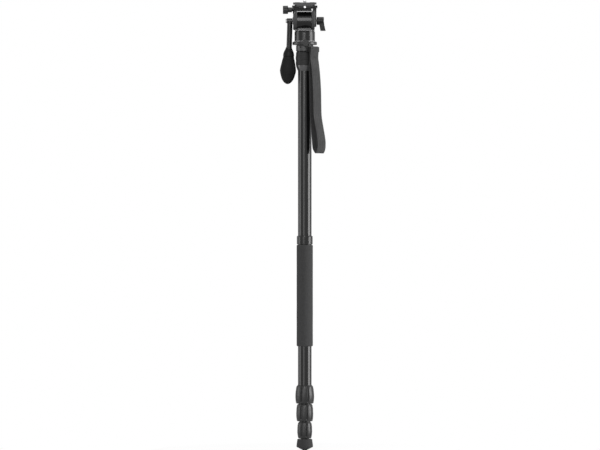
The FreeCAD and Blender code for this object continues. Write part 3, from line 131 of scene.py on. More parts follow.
# one row per finish: colour and worn colour are linear greys, bevel in metres; dark gives two
# heights in metres, and the share of the colour that is left at the first one, as painted shade
# under the plate: on the plate's lower edge and on the top of the yoke
finishes = {
    "tube": dict(colour=0.005, worn=0.04, specular=0.32, rough=(0.17, 0.22), bump=0.0,
                 streak=(260, 260, 3), bevel=0.0003),
    # the column's top casting: its gloss black made much lighter than the tube's, as painted highlight
    "conePaintedLight": dict(colour=0.052, worn=0.06, specular=0.52, rough=(0.20, 0.27), grain=900,
                      bump=0.03, bevel=0.0004),
    "glossBlack": dict(colour=0.006, worn=0.05, specular=0.28, rough=(0.20, 0.30), grain=900,
                       bump=0.04, bevel=0.0004),
    "satinBlack": dict(colour=0.008, worn=0.04, specular=0.22, rough=(0.32, 0.42), grain=2600,
                       bump=0.08, bevel=0.0005),
    # the plate's and the yoke's dark heights paint the shade under the plate's overhang
    "plateBlack": dict(colour=0.062, worn=0.14, specular=0.12, dark=(0.9062, 0.9068, 0.30),
                       rough=(0.34, 0.44), grain=2600, bump=0.08, bevel=0.0005),
    "yokeBlack": dict(colour=0.042, worn=0.13, specular=0.11, dark=(0.8972, 0.8966, 0.05),
                      rough=(0.34, 0.44), grain=2600, bump=0.08, bevel=0.0006),
    # the clamp jaw: the yoke's black, darker and less glossy, as painted shade under the plate
    "jawPaintedShade": dict(colour=0.005, worn=0.06, specular=0.12, rough=(0.34, 0.44), grain=2600,
                     bump=0.08, bevel=0.0005),
    "leverBlack": dict(colour=0.007, worn=0.04, specular=0.13, rough=(0.26, 0.36), grain=3000,
                       bump=0.10, bevel=0.0006),
    # pale grey for strips that paint the highlight along the neck's edges
    "paintedHighlight": dict(colour=0.62, worn=0.7, specular=0.3, rough=(0.3, 0.4), grain=2600, bump=0.05,
                 bevel=0.0002),
    "ringBlack": dict(colour=0.018, worn=0.10, specular=0.30, rough=(0.24, 0.34), grain=2000,
                      bump=0.06, bevel=0.0006),
    "castBlack": dict(colour=0.030, worn=0.08, specular=0.40, rough=(0.34, 0.44), grain=2000,
                      bump=0.08, bevel=0.0006),
    "drumBlack": dict(colour=0.004, worn=0.10, specular=0.24, rough=(0.17, 0.23), grain=2200,
                      bump=0.06, bevel=0.0006),
    "handleBlack": dict(colour=0.005, worn=0.05, specular=0.21, rough=(0.21, 0.29), grain=2600,
                        bump=0.06, bevel=0.0004),
    "alloy": dict(colour=0.42, worn=0.55, metal=1.0, specular=0.5, rough=(0.25, 0.4), grain=1500,
                  bump=0.05, bevel=0.0003),
    "zinc": dict(colour=0.60, worn=0.7, metal=1.0, specular=0.5, rough=(0.5, 0.6), grain=1800,
                 bump=0.03, bevel=0.0002),
    "boltSteel": dict(colour=0.30, worn=0.4, metal=1.0, specular=0.5, rough=(0.45, 0.55),
                      grain=1800, bump=0.03, bevel=0.0003),
    "steel": dict(colour=0.42, worn=0.55, metal=1.0, specular=0.5, rough=(0.30, 0.42),
                  grain=1800, bump=0.03, bevel=0.0002),
    "blackOxide": dict(colour=0.03, worn=0.10, metal=0.6, specular=0.4, rough=(0.3, 0.45),
                       grain=1800, bump=0.05, bevel=0.0002),
    # the strap bracket: darker and less glossy than the other blacks, as painted shade between the platform and
    # the sleeve
    "bracketPaintedShade": dict(colour=0.003, worn=0.02, specular=0.07, rough=(0.3, 0.42), grain=1500,
                         bump=0.08, bevel=0.0004),
    "brass": dict(colour=(0.10, 0.08, 0.045), worn=(0.3, 0.23, 0.12), metal=1.0, specular=0.5,
                  rough=(0.25, 0.4), grain=1500, bump=0.04, bevel=0.0003),
    "acetal": dict(colour=0.03, worn=0.05, specular=0.4, rough=(0.4, 0.5), grain=1200, bump=0.03,
                   bevel=0.0003),
    "knobPlastic": dict(colour=0.009, worn=0.03, specular=0.26, rough=(0.34, 0.46), grain=3000,
                        bump=0.10, bevel=0.0005),
    "lockRubber": dict(colour=0.008, worn=0.035, specular=0.33, rough=(0.30, 0.40), grain=3800,
                       bump=0.16, bevel=0.0004),
    "sleeveRubber": dict(colour=0.014, worn=0.03, specular=0.20, rough=(0.5, 0.64), grain=3800,
                         bump=0.16, bevel=0.0004),
    "footRubber": dict(colour=0.028, worn=0.06, specular=0.09, rough=(0.55, 0.72), grain=3000,
                       bump=0.2, bevel=0.0005),
    "gripRubber": dict(colour=0.009, worn=0.014, specular=0.08, rough=(0.46, 0.58), grain=3600,
                       bump=0.18, bevel=0.0006),
    "ferruleBlack": dict(colour=0.007, worn=0.02, specular=0.09, rough=(0.36, 0.46), grain=3000,
                         bump=0.08, bevel=0.0004),
    "sealFelt": dict(colour=0.006, worn=0.01, specular=0.1, rough=(0.8, 0.95), grain=2600,
                     bump=0.2, bevel=0.0001),
    "padRubber": dict(colour=0.036, worn=0.07, specular=0.25, rough=(0.6, 0.75), grain=3200,
                      bump=0.15, bevel=0.0002),
}
# what these finishes share: broken wear along rounded edges, patchy colour and gloss
wearLook = {"bevelSamples": 4, "cloud": 90, "cloudDetail": 4.0, "bend": (0.97, 0.80),
            "broken": (0.35, 0.7, 0.25, 1.0), "patch": (0.9, 1.1), "markShare": 0.6,
            "cloudShare": 0.4, "grainDetail": 2.0, "streakDetail": 3.0, "bumpDepth": 0.0002}


def makeFinish(name, values):
    material, tree, shader = newMaterial(name)
    rounded = addNode(tree, "Bevel", {"samples": wearLook["bevelSamples"]},
                      Radius=values["bevel"]).outputs["Normal"]
    flat = addNode(tree, "NewGeometry").outputs["Normal"]
    bend = addNode(tree, "VectorMath", {"operation": "DOT_PRODUCT"}, i0=rounded,
                   i1=flat).outputs["Value"]
    cloud = grainOf(tree, wearLook["cloud"], wearLook["cloudDetail"])
    edges = multiply(tree, remap(tree, bend, *wearLook["bend"], 0.0, 1.0),
                     remap(tree, cloud, *wearLook["broken"]))
    paint = mixTones(tree, edges, values["colour"], values["worn"])
    patch = remap(tree, cloud, *noiseSpan, *wearLook["patch"])
    # painted shade: past the dark heights the colour falls to the given share, under the plate's overhang
    if "dark" in values:
        height = addNode(tree, "SeparateXYZ", Vector=objectSpot(tree)).outputs["Z"]
        patch = multiply(tree, patch, remap(tree, height, *values["dark"], 1.0))
    if "streak" in values:  # drawn lines along the part
        mark = grainOf(tree, 1.0, wearLook["streakDetail"], values["streak"])
    else:
        mark = grainOf(tree, values["grain"], wearLook["grainDetail"])
    gloss = mathNode(tree, "ADD", multiply(tree, mark, wearLook["markShare"]),
                     multiply(tree, cloud, wearLook["cloudShare"]))
    bump = addNode(tree, "Bump", Height=mark, Normal=rounded, Strength=values["bump"],
                   Distance=wearLook["bumpDepth"])
    feed(tree, shader, {
        "Base Color": toned(tree, paint, patch), "Normal": bump.outputs["Normal"],
        "Roughness": remap(tree, gloss, *noiseSpan, *values["rough"]),
        "Metallic": values.get("metal", 0.0), "Specular IOR Level": values["specular"]})
    return material


materials = {name: makeFinish(name, values) for name, values in finishes.items()}


# closed-cell foam: fine pores under a slightly wrinkled skin
foamLook = {"light": 0.044, "pores": 1500, "poreSpan": (0.0, 0.6), "poreTone": (0.82, 1.0),
            "wrinkle": 260, "wrinkleDetail": 4.0, "wrinkleTone": (0.92, 1.08),
            "wrinkleHeight": 0.6, "rough": (0.98, 0.84), "strength": 0.3, "bumpDepth": 0.0002,
            "specular": 0.1, "sheen": 0.02, "sheenRough": 0.5}


def makeFoamFinish():
    material, tree, shader = newMaterial("closedCellFoam")
    pores = addNode(tree, "TexVoronoi", Vector=objectSpot(tree),
                    Scale=foamLook["pores"]).outputs["Distance"]
    skin = grainOf(tree, foamLook["wrinkle"], foamLook["wrinkleDetail"])
    tone = multiply(tree, remap(tree, pores, *foamLook["poreSpan"], *foamLook["poreTone"]),
                    remap(tree, skin, *noiseSpan, *foamLook["wrinkleTone"]))
    height = mathNode(tree, "ADD", pores, multiply(tree, skin, foamLook["wrinkleHeight"]))
    bump = addNode(tree, "Bump", Height=height, Strength=foamLook["strength"],
                   Distance=foamLook["bumpDepth"])
    feed(tree, shader, {
        "Base Color": toned(tree, grey(foamLook["light"]), tone),
        "Normal": bump.outputs["Normal"],
        "Roughness": remap(tree, pores, *foamLook["poreSpan"], *foamLook["rough"]),
        "Specular IOR Level": foamLook["specular"], "Sheen Weight": foamLook["sheen"],
        "Sheen Roughness": foamLook["sheenRough"]})
    return material


materials["foam"] = makeFoamFinish()


# woven webbing; rib, pick and stripe are widths in metres
webLook = {"colour": 0.052, "dark": 0.024, "rib": 0.0011, "pick": 0.0009, "stagger": 0.5,
           "pickRound": 0.6, "weaveSpan": (0.1, 0.8), "stripe": 0.0052,
           "stripeTone": (0.82, 1.18), "fuzz": 2600, "fuzzDetail": 4.0, "fuzzHeight": 0.35,
           "patch": 60, "patchDetail": 3.0, "patchTone": (0.85, 1.15), "rough": (0.78, 0.95),
           "strength": 0.9, "bumpDepth": 0.00025, "specular": 0.25, "sheen": 0.05,
           "sheenRough": 0.4}


def makeWebFinish():
    # the strap's UV map is in metres: across the width, then along the webbing
    material, tree, shader = newMaterial("wovenWebbing")
    place = addNode(tree, "SeparateXYZ", Vector=addNode(tree, "TexCoord").outputs["UV"])
    across, along = place.outputs["X"], place.outputs["Y"]
    column = mathNode(tree, "DIVIDE", across, webLook["rib"])
    row = mathNode(tree, "DIVIDE", along, webLook["pick"])
    shift = multiply(tree, mathNode(tree, "FLOOR", column), webLook["stagger"])
    pick = wave(tree, mathNode(tree, "ADD", row, shift))
    weave = multiply(tree, wave(tree, column),
                     mathNode(tree, "POWER", pick, webLook["pickRound"]))
    fuzz = grainOf(tree, webLook["fuzz"], webLook["fuzzDetail"])
    patch = grainOf(tree, webLook["patch"], webLook["patchDetail"])
    height = mathNode(tree, "ADD", weave, multiply(tree, fuzz, webLook["fuzzHeight"]))
    bump = addNode(tree, "Bump", Height=height, Strength=webLook["strength"],
                   Distance=webLook["bumpDepth"])
    paint = mixTones(tree, remap(tree, weave, *webLook["weaveSpan"], 0.0, 1.0),
                     webLook["dark"], webLook["colour"])
    stripe = mathNode(tree, "SINE",
                      mathNode(tree, "DIVIDE", across, webLook["stripe"] / fullTurn))
    tone = multiply(tree, remap(tree, stripe, -1.0, 1.0, *webLook["stripeTone"]),
                    remap(tree, patch, *noiseSpan, *webLook["patchTone"]))
    feed(tree, shader, {
        "Base Color": toned(tree, paint, tone), "Normal": bump.outputs["Normal"],
        "Roughness": remap(tree, fuzz, *noiseSpan, *webLook["rough"]),
        "Specular IOR Level": webLook["specular"], "Sheen Weight": webLook["sheen"],
        "Sheen Roughness": webLook["sheenRough"]})
    return material


materials["webbing"] = makeWebFinish()


threadLook = {"colour": 0.045, "twist": 2600, "tone": (0.7, 1.2), "rough": (0.7, 0.85),
              "sheen": 0.1}


def makeThreadFinish():
    material, tree, shader = newMaterial("sewingThread")
    ply = addNode(tree, "TexWave", {"bands_direction": "DIAGONAL"}, Vector=objectSpot(tree),
                  Scale=threadLook["twist"]).outputs["Fac"]
    tone = remap(tree, ply, 0.0, 1.0, *threadLook["tone"])
    feed(tree, shader, {
        "Base Color": toned(tree, grey(threadLook["colour"]), tone),
        "Roughness": remap(tree, ply, 0.0, 1.0, *threadLook["rough"]),
        "Sheen Weight": threadLook["sheen"]})
    return material


materials["thread"] = makeThreadFinish()
print("finishes made:", len(materials))


# mesh helpers

def makePiece(name, points, faces, finish, body, sharp=35.0):
    # sharp is the angle, in degrees, from which an edge stays hard
    mesh = bpy.data.meshes.new(name)
    mesh.from_pydata([tuple(p) for p in points], [], faces)
    mesh.validate()
    mesh.materials.append(materials[finish])
    piece = bpy.data.objects.new(name, mesh)
    bpy.context.scene.collection.objects.link(piece)
    mesh.shade_smooth()
    mesh.set_sharp_from_angle(angle=math.radians(sharp))
    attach(piece, body)
    return piece


joinWithin = 1e-6  # metres


def tidyMesh(piece):
    # joins the points of a collapsed ring
    mesh = bmesh.new()
    mesh.from_mesh(piece.data)
    bmesh.ops.remove_doubles(mesh, verts=mesh.verts, dist=joinWithin)
    bmesh.ops.recalc_face_normals(mesh, faces=mesh.faces)
    mesh.to_mesh(piece.data)
    mesh.free()


def splineThrough(points, steps):
    # Catmull-Rom samples through 2-D or 3-D points, ends included
    spots = [Vector(p) for p in points]
    spots = [2 * spots[0] - spots[1]] + spots + [2 * spots[-1] - spots[-2]]
    run = []
    for i in range(1, len(spots) - 2):
        a, b, c, d = spots[i - 1:i + 3]
        for k in range(steps):
            t = k / steps
            run.append(0.5 * (2 * b + (c - a) * t + (2 * a - 5 * b + 4 * c - d) * t * t
                              + (3 * b - a - 3 * c + d) * t * t * t))
    return run + [spots[-2]]


def easeIn(value, low, high):
    share = min(1.0, max(0.0, (value - low) / (high - low)))
    return share * share * (3 - 2 * share)


def evenAngles(count):
    return [fullTurn * k / count for k in range(count)]


def quarterAngles(steps):
    return [math.pi / 2 * k / steps for k in range(steps + 1)]


def ringFaces(rows, columns, closed):
    # rings of points joined side by side; closed joins the last ring to the first
    faces = []
    for i in range(rows if closed else rows - 1):
        j = (i + 1) % rows
        for k in range(columns):
            n = (k + 1) % columns
            faces.append((i * columns + k, i * columns + n, j * columns + n, j * columns + k))
    return faces


def cappedFaces(rows, columns, base=0):
    # an open run of rings with a face over each end
    faces = ringFaces(rows, columns, False)
    faces += [tuple(reversed(range(columns))), tuple(range((rows - 1) * columns, rows * columns))]
    return [tuple(base + i for i in face) for face in faces]


def lathe(profile, angles, radiusAt=None, closed=True):
    # a profile of (radius, height) turned about Z, outward when it runs up the outside
    points = []
    for r, z in profile:
        for angle in angles:
            radius = radiusAt(r, z, angle) if radiusAt else r
            points.append(Vector((radius * math.sin(angle), -radius * math.cos(angle), z)))
    if closed:
        return points, ringFaces(len(profile), len(angles), True)
    return points, cappedFaces(len(profile), len(angles))


# twist lock grips: moulded rubber with eight flutes and petal-like tops, in mm and degrees
lockGrips = {
    "upper": dict(body="upper_lock", turn=22.5, shoulder=1.3, topR=15.4, roundH=1.6, rubber=2.95),
    "middle": dict(body="middle_lock", turn=16.0, shoulder=0.6, topR=14.9, roundH=1.4,
                   rubber=2.75),
    "lower": dict(body="lower_lock", turn=15.0, shoulder=0.5, topR=12.5, roundH=3.4, rubber=2.25),
}
gripShape = {"proud": 0.02, "endInset": 1.2, "footIn": 1.4, "footEdge": 0.45, "footRise": 0.3,
             "bellyIn": 0.3, "shoulderH": 6.5, "shoulderShare": 0.35, "rimIn": 0.7,
             "rimDown": 3.2, "crownDown": 1.0, "lip": 0.2, "lipRound": 0.1, "lipDown": 0.3,
             "boreGap": 0.1, "boreInset": 4.0, "boreFoot": 0.9, "footBore": 2.0,
             "plainFoot": 0.01, "steps": 7}
fluteLook = {"count": 8, "halfWidth": 1.8, "depth": 1.8, "round": 1.3, "startAbove": 2.0,
             "fullAbove": 5.0, "petal": 2.4, "petalDepth": 0.5, "petalBelow": 1.0, "edge": 0.12,
             "edgeFade": 3, "between": 7,
             "shares": [-1.0, -0.8, -0.62, -0.5, -0.4, -0.31, -0.23, -0.15, -0.07, 0.0]}


def gripProfile(values, z0, z1, belly):
    # up the outside from the foot, over the lip and down the bore
    shape = gripShape
    foot = belly - shape["endInset"]
    shoulder, shoulderZ = belly - values["shoulder"], z1 - shape["shoulderH"]
    top, roundZ = values["topR"], z0 + values["roundH"]
    middle = (roundZ + shoulderZ) / 2
    outer = splineThrough([
        (foot - shape["footIn"], z0),
        (foot - shape["footEdge"], z0 + values["roundH"] * shape["footRise"]), (foot, roundZ),
        (belly - shape["bellyIn"], (roundZ + middle) / 2), (belly, middle),
        (belly - values["shoulder"] * shape["shoulderShare"], (middle + shoulderZ) / 2),
        (shoulder, shoulderZ), (shoulder - shape["rimIn"], z1 - shape["rimDown"]),
        ((shoulder + top) / 2, z1 - shape["crownDown"]),
        (top + shape["lip"], z1 - shape["lipRound"])], shape["steps"])
    bore = belly - values["rubber"] + shape["boreGap"]
    return [tuple(p) for p in outer] + [
        (top - shape["lip"], z1 - shape["lipDown"]),
        (min(bore, top - shape["lip"]), z1 - shape["boreInset"]), (bore, z0 + shape["boreInset"]),
        (bore, z0 + shape["boreFoot"]), (foot - shape["footBore"], z0)]


def makeLockGrip(name, values):
    low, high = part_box("lock_grip_" + name)
    z0, z1 = low.z / mm, high.z / mm
    belly = (high.x - low.x) / 2 / mm + gripShape["proud"]
    shoulderZ = z1 - gripShape["shoulderH"]
    outside = values["topR"] - gripShape["lipRound"]
    step = fullTurn / fluteLook["count"]
    wide = (fluteLook["halfWidth"] + fluteLook["petal"]) / belly
    shares = fluteLook["shares"] + [-s for s in reversed(fluteLook["shares"][:-1])]
    across = [s * wide for s in shares]
    between = [wide + (step - 2 * wide) * k / fluteLook["between"]
               for k in range(1, fluteLook["between"])]
    start = math.radians(values["turn"])
    angles = [start + i * step + a for i in range(fluteLook["count"]) for a in across + between]

    def radiusAt(r, z, angle):
        if r < outside or z <= z0 + gripShape["plainFoot"]:
            return r
        arc = abs((angle - start + step / 2) % step - step / 2) * r
        petal = easeIn(z, shoulderZ - fluteLook["petalBelow"], z1)
        share = arc / (fluteLook["halfWidth"] + fluteLook["petal"] * petal)
        depth = fluteLook["depth"] + fluteLook["petalDepth"] * petal
        depth *= easeIn(z, z0 + fluteLook["startAbove"], z0 + fluteLook["fullAbove"])
        if share < 1:
            return r - depth * (1 - share * share) ** fluteLook["round"]
        raised = max(0.0, 1 - (share - 1) * fluteLook["edgeFade"])
        return r + fluteLook["edge"] * raised * (depth > 0)

    points, faces = lathe(gripProfile(values, z0, z1, belly), angles, radiusAt)
    piece = makePiece("lockGrip." + name, [p * mm for p in points], faces, "lockRubber",
                      values["body"], sharp=60.0)
    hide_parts("lock_grip_" + name)


for name, values in lockGrips.items():
    makeLockGrip(name, values)
print("twist lock grips moulded")


# foam sleeve on the upper leg, in mm
foamSleeve = {"bore": 14.05, "edge": 1.7, "edgeSteps": 5, "ripple": 0.10, "rippleScale": 0.045,
              "plainEnd": 8, "rows": 110, "columns": 128}


def makeFoamSleeve():
    low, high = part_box("foam_grip")
    z0, z1, r = low.z / mm, high.z / mm, high.x / mm
    bore, edge, count = foamSleeve["bore"], foamSleeve["edge"], foamSleeve["rows"]
    corner = [(math.sin(a) * edge, edge - math.cos(a) * edge)
              for a in quarterAngles(foamSleeve["edgeSteps"])]
    profile = [(r - edge + x, z0 + z) for x, z in corner]
    profile += [(r, z0 + edge + (z1 - z0 - 2 * edge) * k / count) for k in range(1, count)]
    profile += [(r - edge + x, z1 - z) for x, z in reversed(corner)] + [(bore, z1), (bore, z0)]

    def radiusAt(radius, z, angle):
        if radius <= bore:
            return radius
        spot = Vector((math.sin(angle) * r, math.cos(angle) * r, z)) * foamSleeve["rippleScale"]
        fade = easeIn(z, z0, z0 + foamSleeve["plainEnd"])
        fade *= easeIn(z, z1, z1 - foamSleeve["plainEnd"])
        return radius + foamSleeve["ripple"] * noise.noise(spot) * fade - foamSleeve["ripple"] / 2

    points, faces = lathe(profile, evenAngles(foamSleeve["columns"]), radiusAt)
    piece = makePiece("foamSleeve", [p * mm for p in points], faces, "foam", "column")
    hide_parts("foam_grip")


makeFoamSleeve()
print("foam sleeve made")


# wrist strap: one loop of webbing round the bracket's bar, sewn to itself under it, in mm
strap = {
    "azimuth": 50.0, "width": 25.0, "thick": 1.5, "edge": 0.3, "layerGap": 0.08, "inset": -0.2,
    "across": (-1.0, -0.93, -0.6, -0.2, 0.2, 0.6, 0.93, 1.0), "steps": 8,
    # round the bar: radius, arc in degrees, then (step from the radius, drop) on both sides
    "eye": 2.45, "arc": (150, 120, 90, 60, 30, 0), "eyeOut": [(-0.3, 4.0), (-0.8, 8.0)],
    "eyeBack": [(0.3, 8.0), (0.0, 2.5)],
    # (step from the sewn layer, drop) down the stitched length
    "seamOut": [(0.35, 12.0), (0.0, 15.5), (0.0, 22.0)], "seamBack": [(0.0, 22.0), (0.0, 15.5)],
    # drop below the bar, then the inner and the outer face's distance from it
    "shape": [(38.0, -3.1, 3.0), (55.0, -2.7, 5.1), (85.0, -1.7, 7.5), (126.0, -1.1, 8.6),
              (143.0, 0.3, 9.9), (167.0, 2.9, 15.1), (187.0, 4.6, 19.4), (198.0, 5.6, 20.6),
              (207.0, 7.6, 19.9)],
    "outset": 1.3, "outsetFade": (210, 180), "turn": (14.6, 214.4),
    "cup": 0.25, "cupFade": (30, 80), "cupWave": 0.05,
}


def strapPlace(reach, side, drop):
    # from the strap's own plane to the frame: reach outward, side along the bar, drop down
    a = math.radians(strap["azimuth"])
    bar = Vector(joints["strap_swing"]["pos_m"])
    outward = Vector((math.sin(a), -math.cos(a), 0))
    along = Vector((math.cos(a), math.sin(a), 0))
    return bar + (outward * reach + along * side - Vector((0, 0, drop))) * mm


def strapLine():
    # the webbing's middle line as (reach, drop), down the outside and back up the inside
    half, eye = strap["thick"] / 2, strap["eye"]
    layer = half + strap["layerGap"]
    front, back = layer - strap["inset"], -layer - strap["inset"]
    line = [(eye * math.cos(a), -eye * math.sin(a)) for a in map(math.radians, strap["arc"])]
    line += [(eye + step, drop) for step, drop in strap["eyeOut"]]
    line += [(front + step, drop) for step, drop in strap["seamOut"]]
    line += [(outer + strap["outset"] * easeIn(drop, *strap["outsetFade"]) - half, drop)
             for drop, inner, outer in strap["shape"]] + [strap["turn"]]
    line += [(inner + half, drop) for drop, inner, outer in reversed(strap["shape"])]
    line += [(back + step, drop) for step, drop in strap["seamBack"]]
    return line + [(-eye + step, drop) for step, drop in strap["eyeBack"]]


def makeStrap():
    line, steps = strapLine(), strap["steps"]
    loop = splineThrough(line[-2:] + line + line[:3], steps)[2 * steps:(len(line) + 2) * steps]
    half, width = strap["thick"] / 2, strap["width"] / 2
    section = [(share * width, half - strap["edge"] if abs(share) == 1 else half)
               for share in strap["across"]]
    section += [(s, -h) for s, h in reversed(section)]
    count, columns = len(loop), len(section)
    lengths = [0.0]
    for i in range(count):
        lengths.append(lengths[-1] + (loop[(i + 1) % count] - loop[i]).length)
    points = []
    for i in range(count):
        here = loop[i]
        run = (loop[(i + 1) % count] - loop[i - 1]).normalized()
        normal = Vector((run.y, -run.x))
        cup = strap["cup"] * easeIn(here.y, *strap["cupFade"])
        cup *= math.sin(here.y * strap["cupWave"])
        for side, height in section:
            spot = here + normal * (height + cup * (1 - (side / width) ** 2))
            points.append(strapPlace(spot.x, side, spot.y))
    faces = [tuple(reversed(f)) for f in ringFaces(count, columns, True)]
    piece = makePiece("wristStrap", points, faces, "webbing", "strap", sharp=70.0)
    layer = piece.data.uv_layers.new(name="webbing")
    for polygon in piece.data.polygons:
        vertices = {i: piece.data.loops[i].vertex_index for i in polygon.loop_indices}
        rows = {vertex // columns for vertex in vertices.values()}
        wraps = 0 in rows and count - 1 in rows
        for i, vertex in vertices.items():
            row = vertex // columns
            along = lengths[count] if wraps and row == 0 else lengths[row]
            layer.data[i].uv = ((section[vertex % columns][0] + width) * mm, along * mm)
    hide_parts("wrist_strap")
    return lengths[count]


strapLength = makeStrap()


# a box of stitches with a cross in it, on both faces, in mm
stitching = {"pitch": 1.9, "long": 1.35, "radius": 0.22, "rows": (-9.5, 9.5),
             "bars": (12.5, 21.0), "proud": 0.10, "cross": 10, "crossRun": (0.12, 0.82),
             "sides": 6,
             # share of a stitch's length, then of its radius
             "stops": [(0.0, 0.35), (0.12, 0.85), (0.5, 1.0), (0.88, 0.85), (1.0, 0.35)]}


def threadRun(points, faces, start, end):
    # a short domed capsule of thread
    axis = (end - start).normalized()
    left = axis.orthogonal().normalized()
    up = axis.cross(left)
    faces += cappedFaces(len(stitching["stops"]), stitching["sides"], len(points))
    for share, wide in stitching["stops"]:
        spot = start.lerp(end, share)
        for a in evenAngles(stitching["sides"]):
            away = left * math.cos(a) + up * math.sin(a)
            points.append(spot + away * (stitching["radius"] * mm) * wide)


def stitchStarts(start, end):
    spot = start
    while spot + stitching["long"] <= end:
        yield spot
        spot += stitching["pitch"]


def stitchRuns():
    # both ends of each stitch as (side, drop)
    low, high = stitching["bars"]
    left, right = stitching["rows"]
    long, steps = stitching["long"], stitching["cross"]
    runs = [((side, drop), (side, drop + long)) for side in stitching["rows"]
            for drop in stitchStarts(low, high)]
    runs += [((side, drop), (side + long, drop)) for drop in stitching["bars"]
             for side in stitchStarts(left, right)]
    for first, last in (((left, low), (right, high)), ((left, high), (right, low))):
        for k in range(steps):
            runs.append([[first[n] + (last[n] - first[n]) * (k + share) / steps for n in (0, 1)]
                         for share in stitching["crossRun"]])
    return runs


def makeStitching():
    points, faces = [], []
    lift = strap["thick"] + stitching["proud"]
    for reach in (lift - strap["inset"], -lift - strap["inset"]):
        for start, end in stitchRuns():
            threadRun(points, faces, strapPlace(reach, *start), strapPlace(reach, *end))
    makePiece("strapStitching", points, faces, "thread", "strap")


makeStitching()
print("wrist strap sewn, loop length", round(strapLength, 1), "mm")


# small fasteners with hexagon sockets, drawn along their own axis, in mm
fasteners = {
    "handleBolt": dict(node="handle_bolt", finish="boltSteel", body="handle", slot="steel",
                       side=-1, head=4.2, tall=2.6, socket=1.75, deep=1.7, shank=2.85, tip=0.1,
                       dome=0.9),
    "leverScrew": dict(node="tilt_lever_screw", finish="blackOxide", body="tilt_insert",
                       slot="steel", side=1, head=4.6, tall=1.0, socket=1.6, deep=0.8, shank=2.0,
                       tip=0.0, dome=0.25),
}
headShape = {"edge": 0.15, "domeSteps": 4, "mouth": 0.35, "mouthDown": 0.12, "drillPoint": 0.25,
             "flats": 0.94, "columns": 48}


def socketHead(values, length):
    # rows of (radius, height, hexagonal) from the shank's end up over the head into the socket
    head, dome, socket, deep = (values[key] for key in ("head", "dome", "socket", "deep"))
    shank, tip, seat = values["shank"], values["tip"], length - values["tall"]
    rows = [(0.0, tip, 0), (shank, tip, 0), (shank, seat, 0), (head - headShape["edge"], seat, 0),
            (head, seat + headShape["edge"], 0)]
    rows += [(head - dome * (1 - math.cos(a)), length - dome + dome * math.sin(a), 0)
             for a in quarterAngles(headShape["domeSteps"])]
    rows += [(socket + headShape["mouth"], length, 0), (socket, length - headShape["mouthDown"], 1),
             (socket, length - deep, 1), (0.0, length - deep - headShape["drillPoint"], 1)]
    points = []
    for r, z, hexagonal in rows:
        for a in evenAngles(headShape["columns"]):
            wide = r
            if hexagonal:
                wide = r / math.cos((a % (math.pi / 3)) - math.pi / 6) * headShape["flats"]
            points.append(Vector((wide * math.cos(a), wide * math.sin(a), z)))
    return points, ringFaces(len(rows), headShape["columns"], False)


def makeFasteners():
    for name, values in fasteners.items():
        low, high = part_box(values["node"])
        points, faces = socketHead(values, (high.x - low.x) / mm)
        turn = Matrix.Rotation(math.radians(90 * values["side"]), 4, "Y")
        inner = low.x if values["side"] > 0 else high.x
        centre = Vector((inner, (low.y + high.y) / 2, (low.z + high.z) / 2))
        placed = [centre + turn @ (p * mm) for p in points]
        piece = makePiece(name, placed, faces, values["finish"], values["body"])
        tidyMesh(piece)
        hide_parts(values["node"])


makeFasteners()


# quarter inch camera screw, with its thread cut as a helix, in mm
cameraScrew = {"pitch": 1.27, "depth": 0.42, "flank": 0.42, "rows": 60, "startRun": 0.4,
               "taper": 0.7, "taperRun": 1.1, "endGap": 0.05, "endInset": 0.9, "shank": 2.6,
               "headR": 7.0, "headH": 3.0, "headEdge": 0.4, "columns": 48}


def makeCameraScrew():
    low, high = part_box("camera_screw")
    z0, z1 = low.z / mm, high.z / mm
    thread = frame["record"]["mounts"][0]
    radius = thread["dims"]["r_mm"]
    threadLow = thread["pos_m"][2] / mm - thread["dims"]["length_mm"] / 2
    headTop = z0 + cameraScrew["headH"]
    headR, edge, count = cameraScrew["headR"], cameraScrew["headEdge"], cameraScrew["rows"]
    threadRise = z1 - cameraScrew["endGap"] - threadLow
    rows = [(0.0, z0), (headR - edge, z0), (headR, z0 + edge), (headR, headTop - edge),
            (headR - edge, headTop), (cameraScrew["shank"], headTop),
            (cameraScrew["shank"], threadLow)]
    rows += [(radius, threadLow + threadRise * (k + 0.5) / count) for k in range(count)]
    rows += [(radius - cameraScrew["endInset"], z1), (0.0, z1)]

    def radiusAt(r, z, angle):
        if r != radius:
            return r
        phase = (z / cameraScrew["pitch"] - angle / fullTurn) % 1.0
        cut = max(0.0, 1 - abs(phase - 0.5) / cameraScrew["flank"])
        taper = easeIn(z, z1 - cameraScrew["taperRun"], z1) * cameraScrew["taper"]
        start = easeIn(z, threadLow, threadLow + cameraScrew["startRun"])
        return radius - cameraScrew["depth"] * cut * start - taper

    points, faces = lathe(rows, evenAngles(cameraScrew["columns"]), radiusAt, closed=False)
    piece = makePiece("cameraScrew", [p * mm for p in points], faces, "steel", "tripod_screw",
                      sharp=50.0)
    tidyMesh(piece)
    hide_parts("camera_screw")


makeCameraScrew()


# rubber strips on the plate, ribbed across, in mm; profile is (share of a rib, share of its depth)
plateRibs = {"inner": 9.5, "pitch": 1.6, "depth": 0.22, "edge": 0.25, "dome": 0.2, "columns": 9,
             "profile": ((0.06, 1.0), (0.24, 0.15), (0.5, 0.0), (0.76, 0.15), (0.94, 1.0))}


